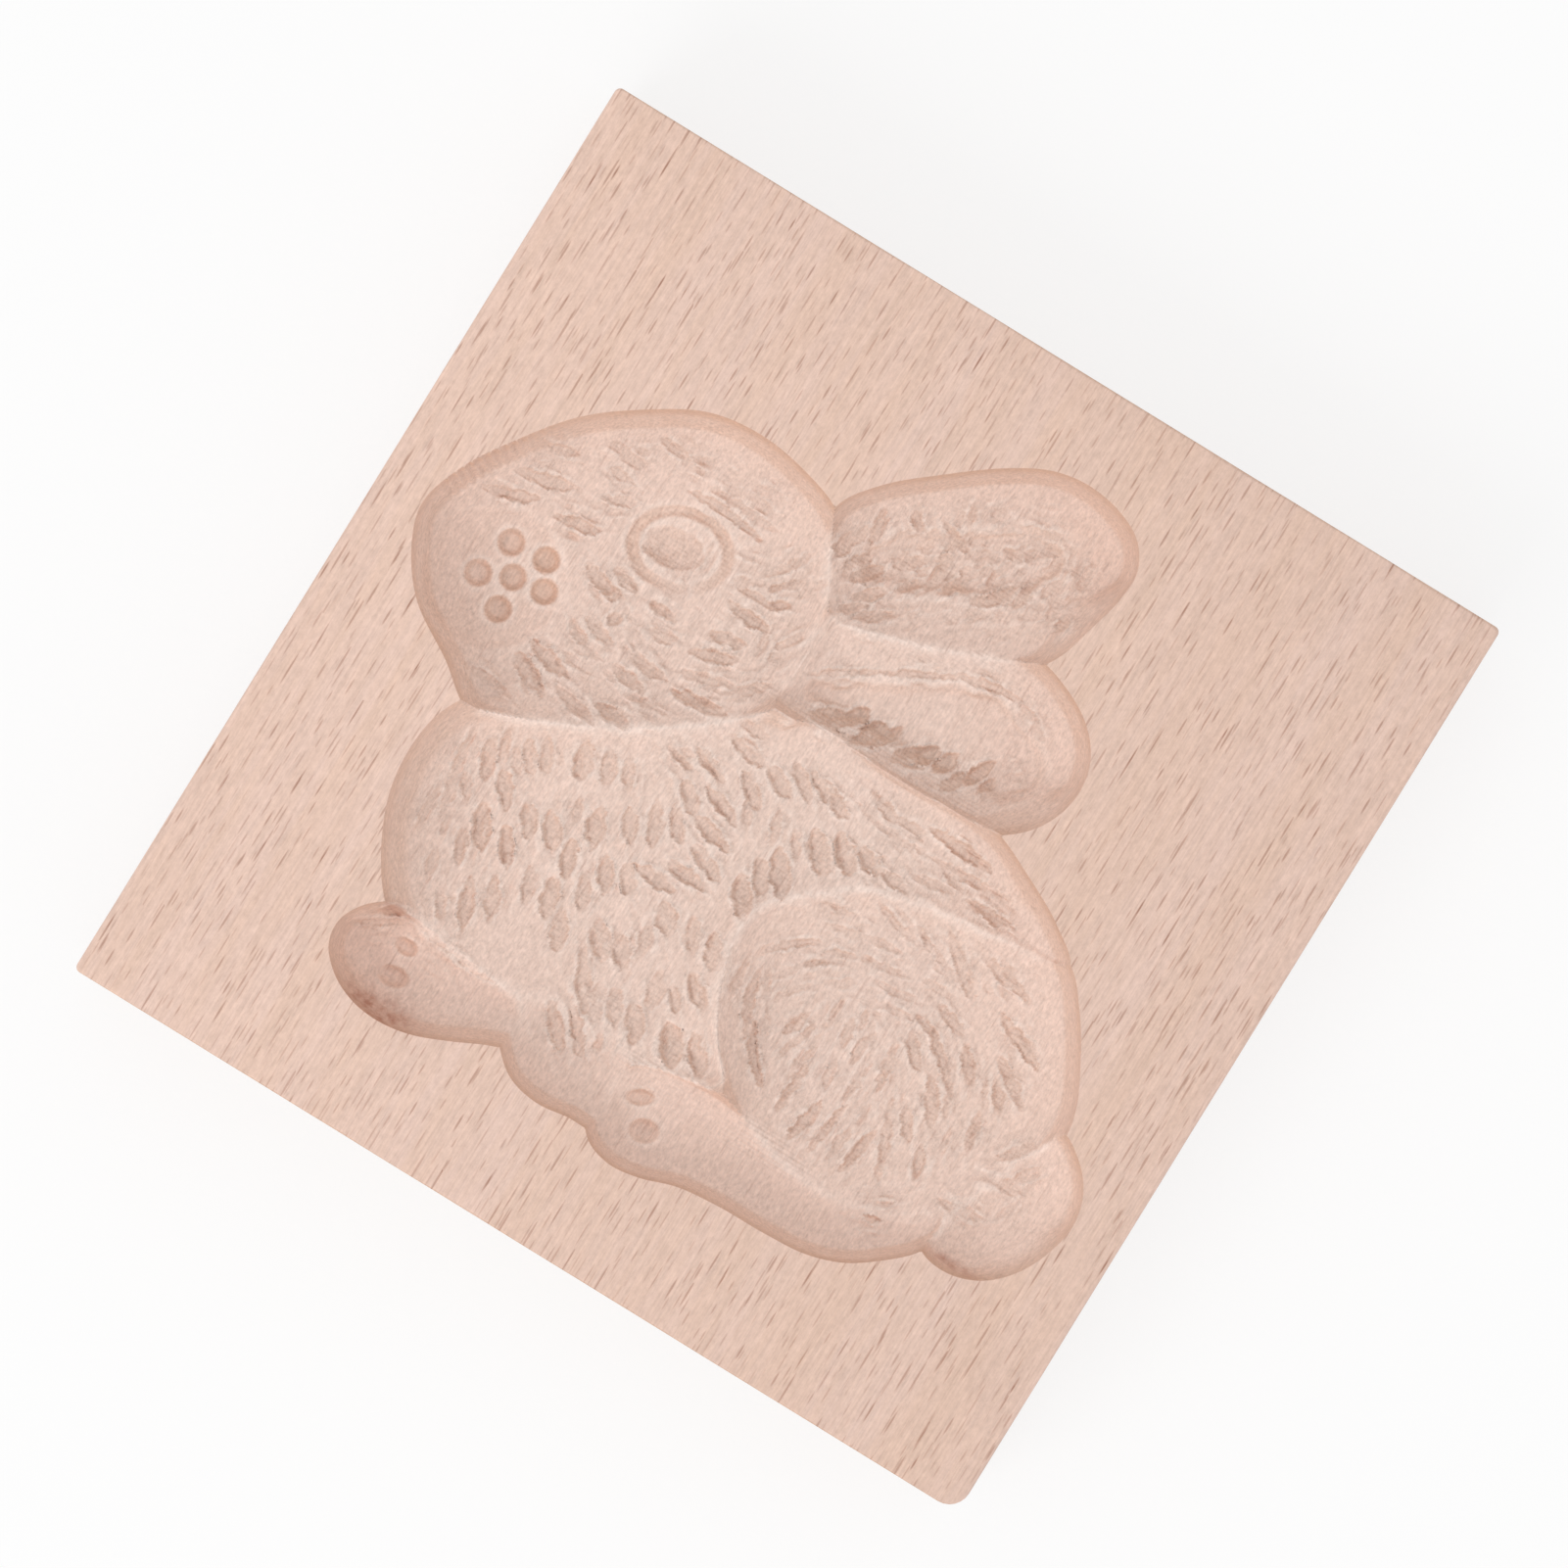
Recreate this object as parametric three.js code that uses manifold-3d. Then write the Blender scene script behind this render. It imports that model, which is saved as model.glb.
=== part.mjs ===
// Cookie mould: one square beech block with a sitting rabbit hollowed into its top face.
// Dough is pressed into the hollow, so every form of the rabbit is cut as deep as it stands out on the cookie.
// Millimetres, +Z up. The origin is the centre of the bottom face, the rabbit's nose points along -X,
// its ears towards +Y, and the grain of the wood runs along Y.

import * as THREE from "three";
import { mergeVertices } from "three/addons/utils/BufferGeometryUtils.js";
import Module from "manifold-3d";

// Block
const boardSide = 100;
const boardThickness = 20;
const edgeEase = 0.3; // the rounding along the edges of the top and bottom faces
const cornerRadius = 0.6; // the four upright corners
const wornCornerRadius = 2.2; // but the one at +X -Y is worn rounder

// Figure: it fills the board apart from a bare margin beyond the nose and beyond the tail
const sideMargin = 5;
const drawnLength = 90; // nose to tail, in the units that the outlines below are drawn in
const unit = (boardSide - 2 * sideMargin) / drawnLength;

// Depths and walls of the hollow
const wallDepth = 4.8; // from the top face down to the foot of the wall
const wallWidth = 1.7; // how far the wall leans in, seen from above
const chestWallWidth = 2.9; // the chest's wall leans more
const wallEase = 1.35; // 1 is a straight wall, and more eases its foot into the floor
const floorEase = 2.1; // 1 is a straight-sided floor, and more rounds it to a bowl
const headDepth = 8.2;
const chestDepth = 7.4;
const flankDepth = 6.6; // where the chest runs into the back
const backDepth = 5.9;
const haunchDepth = 8.2;
const earDepth = 6.6;
const earTipDepth = 5.8;
const pawDepth = 6.9;
const footDepth = 5.9;
const tailDepth = 6.2;

// Small cuts in the floor of the hollow
const innerEarDepth = 0.8; // below the floor of the ear
const innerEarSlope = 0.8; // the plan width of the step
const innerEarCore = 0.45; // how far the middle ring of its floor closes in on the centre
const eyeRingDepth = 0.55;
const eyeRingWidth = 1.1;
const pupilDepth = 0.9;
const whiskerDotDiameter = 2.9;
const whiskerDotDepth = 1.0;
const toeDepth = 0.7;
const tuftDepth = 0.9;
const tuftLength = 3.8;
const tuftWidth = 1.5;

// Mesh fineness
const facetLength = 2.1; // along an outline
const wallRings = 3;
const floorRings = 3;
const coreShare = 0.8; // how far the floor's rings close in on the spine before one flat cap ends them
const ovalSteps = 12; // round a dent
const grooveSteps = 28; // round the eye's ring
const mergeDistance = 1e-4;
const cutterLift = 1; // the cutter stands this much above the top face

// Each form of the rabbit is a lobe: a smooth closed outline at the top face, and a spine along its deepest line.
// An outline follows the rim where the lobe meets the bare face. Where it meets a neighbour, it runs one or two
// millimetres past the shared ridge, so that the two lobes cross there and leave the ridge standing. The further
// past, the lower the ridge.
// A spine point is x, y, depth.
const lobes = {
  head: {
    outline: [
      [-30.6, -8.9], [-35.2, -5.8], [-40.6, -2.3], [-43.9, 2.2], [-45, 6], [-43.5, 10.9], [-40.6, 15.6],
      [-36.4, 20.9], [-31.4, 24.8], [-26, 27.8], [-20.5, 28.6], [-15, 27.8], [-10.6, 26.2], [-7.4, 23.2],
      [-5.2, 18.6], [-4.4, 13.6], [-4.6, 8.5], [-7, 3.3], [-11.7, -0.7], [-16, -3.5], [-20.6, -6],
      [-25.3, -8],
    ],
    spine: [[-32, 5.5, headDepth], [-21, 12, headDepth], [-15, 15, headDepth - 0.8]],
  },
  chest: {
    outline: [
      [-31.2, -7.5], [-33.1, -11], [-33.6, -15.5], [-32.9, -20], [-30.8, -24.7], [-28, -28.6], [-23.5, -32],
      [-17, -33.8], [-10, -33.4], [-3, -33], [4, -31], [9.8, -28.6], [10.6, -25.6], [8.2, -22], [6.2, -18],
      [5.3, -13.5], [6.6, -9.4], [9.6, -4], [9.6, 2], [6, 7], [-2, 8.4], [-9.5, 6.2], [-14, 2.8],
      [-17.9, 0.2], [-22, -2.1], [-26.6, -4.4],
    ],
    spine: [[-21, -16, chestDepth], [-10, -15, chestDepth], [0, -8, flankDepth]],
    wallWidth: chestWallWidth,
  },
  back: {
    outline: [
      [-3, 8.1], [8, 8.1], [18, 8.1], [23.8, 5.8], [28.6, 3.2], [31.6, 0.5], [29.2, -2.2], [22, -2.9],
      [15.7, -4.2], [11.5, -5.9], [7.5, -9.1], [1, -11], [-5, -7], [-7, 0],
    ],
    spine: [[0, -6, flankDepth], [8, 1.6, backDepth], [24, 2, backDepth]],
  },
  haunch: {
    outline: [
      [1.3, -12], [2, -16.6], [4.1, -21.8], [7.4, -26], [12.2, -29.8], [18.5, -33], [25, -33.6], [31, -31.4],
      [35.4, -26.6], [38.6, -20.4], [39.9, -14.2], [39.4, -11], [37.3, -6.7], [34.8, -2.8], [31.6, 0.7],
      [27.2, 1.8], [21.6, 1.1], [14.5, -0.3], [9.2, -2.1], [4.9, -5.3], [2.3, -8.8],
    ],
    spine: [[13, -16, haunchDepth], [25, -13, haunchDepth]],
  },
  near_ear: {
    outline: [
      [-6.3, 6.8], [-6.6, 12], [-6.3, 17.6], [-1.8, 19.1], [4.3, 21.1], [9.6, 23.4], [13.2, 24.3],
      [16.8, 23.4], [20.5, 21.4], [22.8, 18.7], [23.6, 15.4], [22.9, 12], [21, 9.2], [17.8, 7.1], [12, 6.4],
      [3, 6.3],
    ],
    spine: [[-0.5, 11.6, earDepth], [15.5, 14.8, earDepth - 0.4]],
  },
  far_ear: {
    outline: [
      [-10.8, 26.6], [-8.2, 30.5], [-3.8, 34.4], [1, 38.1], [5, 40.3], [8.6, 41], [12.4, 40.5], [15.5, 39],
      [17.2, 36.4], [17.2, 33.2], [16.3, 29.4], [15.1, 25.4], [13, 22.7], [9, 20.9], [4, 19], [-1, 17.4],
      [-5.2, 16.6], [-7.6, 18.9], [-9.6, 22.6],
    ],
    spine: [[-4, 23.5, earDepth], [3, 28.5, earDepth], [10.5, 34, earTipDepth]],
  },
  front_paw: {
    outline: [
      [-25.9, -27.9], [-29, -29.6], [-30.7, -32.4], [-30.4, -35], [-28.4, -37.2], [-25.7, -38.5],
      [-22.5, -38.9], [-19.2, -38.4], [-15.9, -37.1], [-12.8, -35.6], [-9.6, -34], [-8.4, -31],
      [-11.4, -28.6], [-19, -27.8],
    ],
    spine: [[-25, -33.8, pawDepth], [-15, -32.6, pawDepth - 0.8]],
  },
  second_paw: {
    outline: [
      [-13.4, -31.6], [-11.1, -34.9], [-8.6, -36.9], [-5.3, -37.6], [-2, -37.2], [1, -36.9], [1.9, -34],
      [1, -29], [-3, -25.6], [-9, -25.4], [-13, -27.6],
    ],
    spine: [[-7.5, -30.6, footDepth], [-3.4, -32.4, footDepth - 0.2]],
  },
  hind_foot: {
    outline: [
      [-1.1, -32], [-0.9, -35.6], [0.8, -38], [3.6, -38.95], [6.8, -38.6], [10.5, -37.4], [15, -36.9],
      [20, -36.8], [24.5, -36.4], [28, -35.2], [30.9, -33.2], [33.6, -30.6], [35, -27.6], [33.6, -24.6],
      [29.6, -25.2], [25, -27.6], [20, -28.2], [15.4, -28], [10.4, -27.3], [4.8, -27.6], [0.6, -28.9],
    ],
    spine: [[4.5, -33.2, footDepth], [20, -33, footDepth], [29.5, -30.2, footDepth - 0.4]],
  },
  tail: {
    outline: [
      [38.8, -13.2], [42, -14.8], [44.2, -17.4], [45, -20.6], [44.3, -24.2], [42.8, -27.2], [40.4, -29.6],
      [37.2, -30.8], [34, -30.4], [31.4, -28], [30.4, -24], [31.6, -19.4], [34.4, -15],
    ],
    spine: [[38.4, -20, tailDepth], [37.6, -26, tailDepth - 0.4]],
  },
};

// The inside of each ear is one step deeper
const innerEars = {
  near: [
    [-4.4, 9.4], [-4.4, 11.3], [-1, 13.5], [3.5, 15.8], [8, 18.4], [12.6, 19.4], [17, 18.4], [20.2, 16],
    [20.6, 13], [18.4, 10.3], [12, 9.3], [3, 9.1],
  ],
  far: [
    [-7.2, 24.6], [-3.6, 29], [1, 31.8], [5, 34.5], [8.6, 35.5], [11.3, 34.3], [11.3, 31.4], [8.4, 28],
    [4, 25.2], [-1, 22.8], [-5.2, 21.8],
  ],
};

// Eye: an oval ring groove round an oval pupil
const eye = { centre: [-21.6, 15.2], long: 4.75, wide: 3.7, turn: 15 };
const pupil = { centre: [-22.2, 14.6], long: 3.2, wide: 1.8, turn: 10 };

const whiskerDots = [[-36, 7.2], [-32.2, 7.5], [-34.1, 4.4], [-30.8, 4.8], [-37.2, 3], [-33.7, 1]];

// Toes: two oval dents at the tip of the front paw and two at the tip of the hind foot
const toes = [
  { centre: [-24, -31.6], long: 1.3, wide: 0.9, turn: 0 },
  { centre: [-23.6, -34.7], long: 1.7, wide: 1.1, turn: 10 },
  { centre: [3, -32.1], long: 1.5, wide: 0.9, turn: 30 },
  { centre: [5, -34.7], long: 1.6, wide: 1.3, turn: 20 },
];

// Tufts of fur along the lower edge of the near ear, all slanting the same way
const tufts = { count: 9, first: [-0.7, 9.5], last: [14.3, 11.4], turn: 60 };

// A point at this share of the way, as x or y alone
const mix = (a, b, share) => a + (b - a) * share;

// The wall: steep at the top, easing into the floor at its foot. Share 0 is the rim and 1 the foot.
const wallFall = (share) => 1 - (1 - share) ** wallEase;

// The floor: a shallow bowl from the foot of the wall down to the spine
const floorFall = (share) => 1 - (1 - share) ** floorEase;

// A drawn outline in millimetres, as evenly spaced points that run anticlockwise
function smoothOutline(drawn) {
  const corners = drawn.map(([x, y]) => new THREE.Vector3(x * unit, y * unit, 0));
  const curve = new THREE.CatmullRomCurve3(corners, true, "centripetal");
  const count = Math.round(curve.getLength() / facetLength);
  const ring = curve.getSpacedPoints(count).slice(0, count);
  return THREE.ShapeUtils.isClockWise(ring) ? ring.reverse() : ring;
}

// The nearest point of a lobe's spine, with its depth as z
function spinePoint(lobe, at) {
  const bones = lobe.spine.map(([x, y, depth]) => new THREE.Vector3(x * unit, y * unit, depth));
  let best = null;
  let least = Infinity;
  for (let i = 0; i + 1 < bones.length; i++) {
    const along = new THREE.Vector2().subVectors(bones[i + 1], bones[i]);
    const share = new THREE.Vector2().subVectors(at, bones[i]).dot(along) / along.lengthSq();
    const found = bones[i].clone().lerp(bones[i + 1], THREE.MathUtils.clamp(share, 0, 1));
    const distance = Math.hypot(found.x - at.x, found.y - at.y);
    if (distance < least) {
      least = distance;
      best = found;
    }
  }
  return best;
}

// A ring moved inwards, square to itself
function insetRing(ring, distance) {
  return ring.map((p, i) => {
    const before = ring.at(i - 1);
    const after = ring[(i + 1) % ring.length];
    const along = new THREE.Vector2().subVectors(after, before).normalize();
    return new THREE.Vector3(p.x - along.y * distance, p.y + along.x * distance, 0);
  });
}

// The cutter of one lobe: rings that follow its outline down the wall and over the floor to the spine
function lobeCutter(lobe) {
  const rim = smoothOutline(lobe.outline);
  const width = lobe.wallWidth ?? wallWidth;
  const rings = [rim.map((p) => [p.x, p.y, boardThickness + cutterLift])];
  const feet = insetRing(rim, width);
  for (let k = 0; k <= wallRings; k++) {
    const share = k / wallRings;
    const z = boardThickness - wallDepth * wallFall(share);
    rings.push(rim.map((p, i) => [mix(p.x, feet[i].x, share), mix(p.y, feet[i].y, share), z]));
  }
  for (let k = 1; k <= floorRings; k++) {
    const share = (coreShare * k) / floorRings;
    rings.push(feet.map((foot) => {
      const spine = spinePoint(lobe, foot);
      const depth = mix(wallDepth, spine.z, floorFall(share));
      return [mix(foot.x, spine.x, share), mix(foot.y, spine.y, share), boardThickness - depth];
    }));
  }
  return closedLoft(rings);
}

// A closed surface over rings that run from the top down, anticlockwise seen from above
function closedLoft(rings) {
  const count = rings[0].length;
  const triangles = [];
  for (let k = 0; k + 1 < rings.length; k++)
    for (let i = 0; i < count; i++) {
      const a = k * count + i;
      const b = k * count + ((i + 1) % count);
      triangles.push(a, b + count, b, a, a + count, b + count);
    }
  const cap = (ring, first, up) => {
    const flat = ring.map(([x, y]) => new THREE.Vector2(x, y));
    for (const [a, b, c] of THREE.ShapeUtils.triangulateShape(flat, []))
      triangles.push(first + a, first + (up ? b : c), first + (up ? c : b));
  };
  cap(rings[0], 0, true);
  cap(rings.at(-1), (rings.length - 1) * count, false);
  const geometry = new THREE.BufferGeometry();
  geometry.setAttribute("position", new THREE.Float32BufferAttribute(rings.flat(2), 3));
  geometry.setIndex(triangles);
  return geometry;
}

// How deep the lobes reach at a place, by the same wall and floor curves as their cutters
const rims = new Map(Object.values(lobes).map((lobe) => [lobe, smoothOutline(lobe.outline)]));

function depthAt(x, y) {
  const at = new THREE.Vector3(x * unit, y * unit, 0);
  let deepest = 0;
  for (const [lobe, rim] of rims) {
    let inside = false;
    let edge = Infinity;
    rim.forEach((p, i) => {
      const q = rim[(i + 1) % rim.length];
      const foot = new THREE.Line3(p, q).closestPointToPoint(at, true, new THREE.Vector3());
      edge = Math.min(edge, foot.distanceTo(at));
      if (p.y > at.y !== q.y > at.y && at.x < mix(p.x, q.x, (at.y - p.y) / (q.y - p.y))) inside = !inside;
    });
    if (!inside) continue;
    const width = lobe.wallWidth ?? wallWidth;
    const spine = spinePoint(lobe, at);
    const past = Math.max(edge - width, 0);
    const share = past / (past + Math.hypot(spine.x - at.x, spine.y - at.y) || 1);
    const wall = wallDepth * wallFall(Math.min(edge / width, 1));
    deepest = Math.max(deepest, wall + (spine.z - wallDepth) * floorFall(share));
  }
  return deepest;
}

// A ball squeezed to an oval, sunk into the floor at a place until it cuts to the given depth
function ovalCutter({ centre, long, wide, turn }, depth) {
  const geometry = new THREE.SphereGeometry(1, ovalSteps, ovalSteps / 2 + 1);
  geometry.rotateX(Math.PI / 2);
  const tall = Math.max(depth, Math.min(long, wide) * unit);
  geometry.scale(long * unit, wide * unit, tall);
  geometry.rotateZ(THREE.MathUtils.degToRad(turn));
  const floor = boardThickness - depthAt(...centre);
  geometry.translate(centre[0] * unit, centre[1] * unit, floor - depth + tall);
  return geometry;
}

// A dish with a sloping side, which takes the inside of an ear one step deeper
function dishCutter(drawn, depth) {
  const rim = smoothOutline(drawn);
  const foot = insetRing(rim, innerEarSlope);
  const centre = foot.reduce((sum, p) => sum.add(p), new THREE.Vector3()).divideScalar(foot.length);
  const inner = foot.map((p) => p.clone().lerp(centre, innerEarCore));
  const ring = (points, lower) => points.map((p) => [
    p.x, p.y, boardThickness - depthAt(p.x / unit, p.y / unit) - lower,
  ]);
  return closedLoft([ring(rim, -depth), ring(rim, 0), ring(foot, depth), ring(inner, depth)]);
}

// A groove along an oval, as a ring of round section sunk into the floor
function ringCutter({ centre, long, wide, turn }, depth, width) {
  const radius = width / 2;
  const angle = THREE.MathUtils.degToRad(turn);
  const geometry = new THREE.TorusGeometry(2, 1, 6, grooveSteps);
  const at = geometry.getAttribute("position");
  for (let i = 0; i < at.count; i++) {
    const around = Math.atan2(at.getY(i), at.getX(i));
    const out = radius * (Math.hypot(at.getX(i), at.getY(i)) - 2);
    const place = (grow) => {
      const u = (long * unit + grow) * Math.cos(around);
      const v = (wide * unit + grow) * Math.sin(around);
      const x = centre[0] * unit + u * Math.cos(angle) - v * Math.sin(angle);
      const y = centre[1] * unit + u * Math.sin(angle) + v * Math.cos(angle);
      return [x, y];
    };
    const [midX, midY] = place(0);
    const floor = boardThickness - depthAt(midX / unit, midY / unit);
    at.setXYZ(i, ...place(out), floor - depth + radius + radius * at.getZ(i));
  }
  return geometry;
}

// The bare block, with rounded upright corners and eased edges
function block() {
  const half = boardSide / 2 - edgeEase;
  const shape = new THREE.Shape();
  const corners = [[1, -1, wornCornerRadius], [1, 1, cornerRadius], [-1, 1, cornerRadius], [-1, -1, cornerRadius]];
  corners.forEach(([sx, sy, radius], i) => {
    const inset = half - Math.max(radius - edgeEase, edgeEase / 4);
    const from = -Math.PI / 2 + (i * Math.PI) / 2;
    shape.absarc(sx * inset, sy * inset, half - inset, from, from + Math.PI / 2, false);
  });
  const geometry = new THREE.ExtrudeGeometry(shape, {
    depth: boardThickness - 2 * edgeEase,
    bevelThickness: edgeEase,
    bevelSize: edgeEase,
    bevelSegments: 2,
    curveSegments: 4,
  });
  return geometry.translate(0, 0, edgeEase);
}

const wasm = await Module();
wasm.setup();

function solid(geometry) {
  geometry.deleteAttribute("normal");
  geometry.deleteAttribute("uv");
  const merged = mergeVertices(geometry, mergeDistance);
  return new wasm.Manifold(new wasm.Mesh({
    numProp: 3,
    vertProperties: merged.attributes.position.array,
    triVerts: new Uint32Array(merged.index.array),
  }));
}

function meshOf(name, body, material) {
  const { vertProperties, triVerts } = body.getMesh();
  const geometry = new THREE.BufferGeometry();
  geometry.setAttribute("position", new THREE.BufferAttribute(vertProperties, 3));
  geometry.setIndex(new THREE.BufferAttribute(triVerts, 1));
  geometry.computeVertexNormals();
  const mesh = new THREE.Mesh(geometry, material);
  mesh.name = name;
  return mesh;
}

// The hollow is all the lobes joined, and the small cuts go on down from its floor
const tuftCutters = Array.from({ length: tufts.count }, (_, i) => {
  const share = i / (tufts.count - 1);
  const centre = [mix(tufts.first[0], tufts.last[0], share), mix(tufts.first[1], tufts.last[1], share)];
  const size = { centre, long: tuftLength / 2 / unit, wide: tuftWidth / 2 / unit, turn: tufts.turn };
  return ovalCutter(size, innerEarDepth + tuftDepth);
});
const dotSize = { long: whiskerDotDiameter / 2 / unit, wide: whiskerDotDiameter / 2 / unit, turn: 0 };
const cutters = [
  ...Object.values(lobes).map(lobeCutter),
  ...Object.values(innerEars).map((ear) => dishCutter(ear, innerEarDepth)),
  ringCutter(eye, eyeRingDepth, eyeRingWidth),
  ovalCutter(pupil, pupilDepth),
  ...whiskerDots.map((centre) => ovalCutter({ centre, ...dotSize }, whiskerDotDepth)),
  ...toes.map((toe) => ovalCutter(toe, toeDepth)),
  ...tuftCutters,
];
const mould = cutters.reduce((left, cutter) => left.subtract(solid(cutter)), solid(block()));

const beech = new THREE.MeshStandardMaterial({ color: 0xdcc3ae, roughness: 0.75, metalness: 0, flatShading: true });

const group = new THREE.Group();
group.add(meshOf("mould_block", mould, beech));

export default group;
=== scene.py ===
"""Cookie mould: a square beech block with a sitting rabbit hollowed into its top face.

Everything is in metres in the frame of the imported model: the origin is the centre of the bottom face, +Z
comes out of the carved face, +X runs from the rabbit's nose to its tail and +Y along the grain towards its
ears. The carving's tables are in millimetres in that same plan, as they are drawn.
"""

import math
from collections import Counter

import bmesh
import bpy
import numpy as np
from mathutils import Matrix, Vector


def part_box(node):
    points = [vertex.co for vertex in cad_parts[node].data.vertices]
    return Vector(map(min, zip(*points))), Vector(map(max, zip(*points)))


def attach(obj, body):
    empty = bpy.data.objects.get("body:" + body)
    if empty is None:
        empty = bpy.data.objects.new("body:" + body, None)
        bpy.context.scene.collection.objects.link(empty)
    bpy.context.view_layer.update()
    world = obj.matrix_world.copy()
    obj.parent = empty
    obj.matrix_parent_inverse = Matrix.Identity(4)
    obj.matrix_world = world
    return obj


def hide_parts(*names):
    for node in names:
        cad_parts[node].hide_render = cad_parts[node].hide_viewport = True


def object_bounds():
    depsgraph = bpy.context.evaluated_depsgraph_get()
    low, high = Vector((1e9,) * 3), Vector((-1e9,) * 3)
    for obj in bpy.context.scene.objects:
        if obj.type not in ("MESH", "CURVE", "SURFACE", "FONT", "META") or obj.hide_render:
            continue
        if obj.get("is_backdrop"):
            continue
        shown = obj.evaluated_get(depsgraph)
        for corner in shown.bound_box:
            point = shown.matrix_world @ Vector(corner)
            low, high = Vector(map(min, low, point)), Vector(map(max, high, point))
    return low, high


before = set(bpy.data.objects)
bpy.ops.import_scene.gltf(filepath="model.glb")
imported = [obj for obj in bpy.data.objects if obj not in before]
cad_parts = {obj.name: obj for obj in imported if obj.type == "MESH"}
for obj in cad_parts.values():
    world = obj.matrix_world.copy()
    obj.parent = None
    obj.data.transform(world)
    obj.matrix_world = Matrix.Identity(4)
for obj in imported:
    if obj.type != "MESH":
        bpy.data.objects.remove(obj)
CAD_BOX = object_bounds()

bl_info = {
    "name": "Cookie mould",
    "version": (1, 0, 0),
    "blender": (4, 5, 0),
    "location": "View3D > Sidebar > Cookie mould",
    "description": "Carves a beech cookie mould with a rabbit and sets its stage",
    "category": "Object",
}

MM = 0.001
NODE = "mould_block"
BODY = "root"
BLOCK_LOW, BLOCK_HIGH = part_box(NODE)
IMAGE_SIDE = 1601


def linear(red, green, blue):
    """A colour that is written as 0 to 255 values of a picture, as the linear values that a shader takes."""
    values = [c / 255 for c in (red, green, blue)]
    return tuple(v / 12.92 if v <= 0.04045 else ((v + 0.055) / 1.055) ** 2.4 for v in values)


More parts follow.
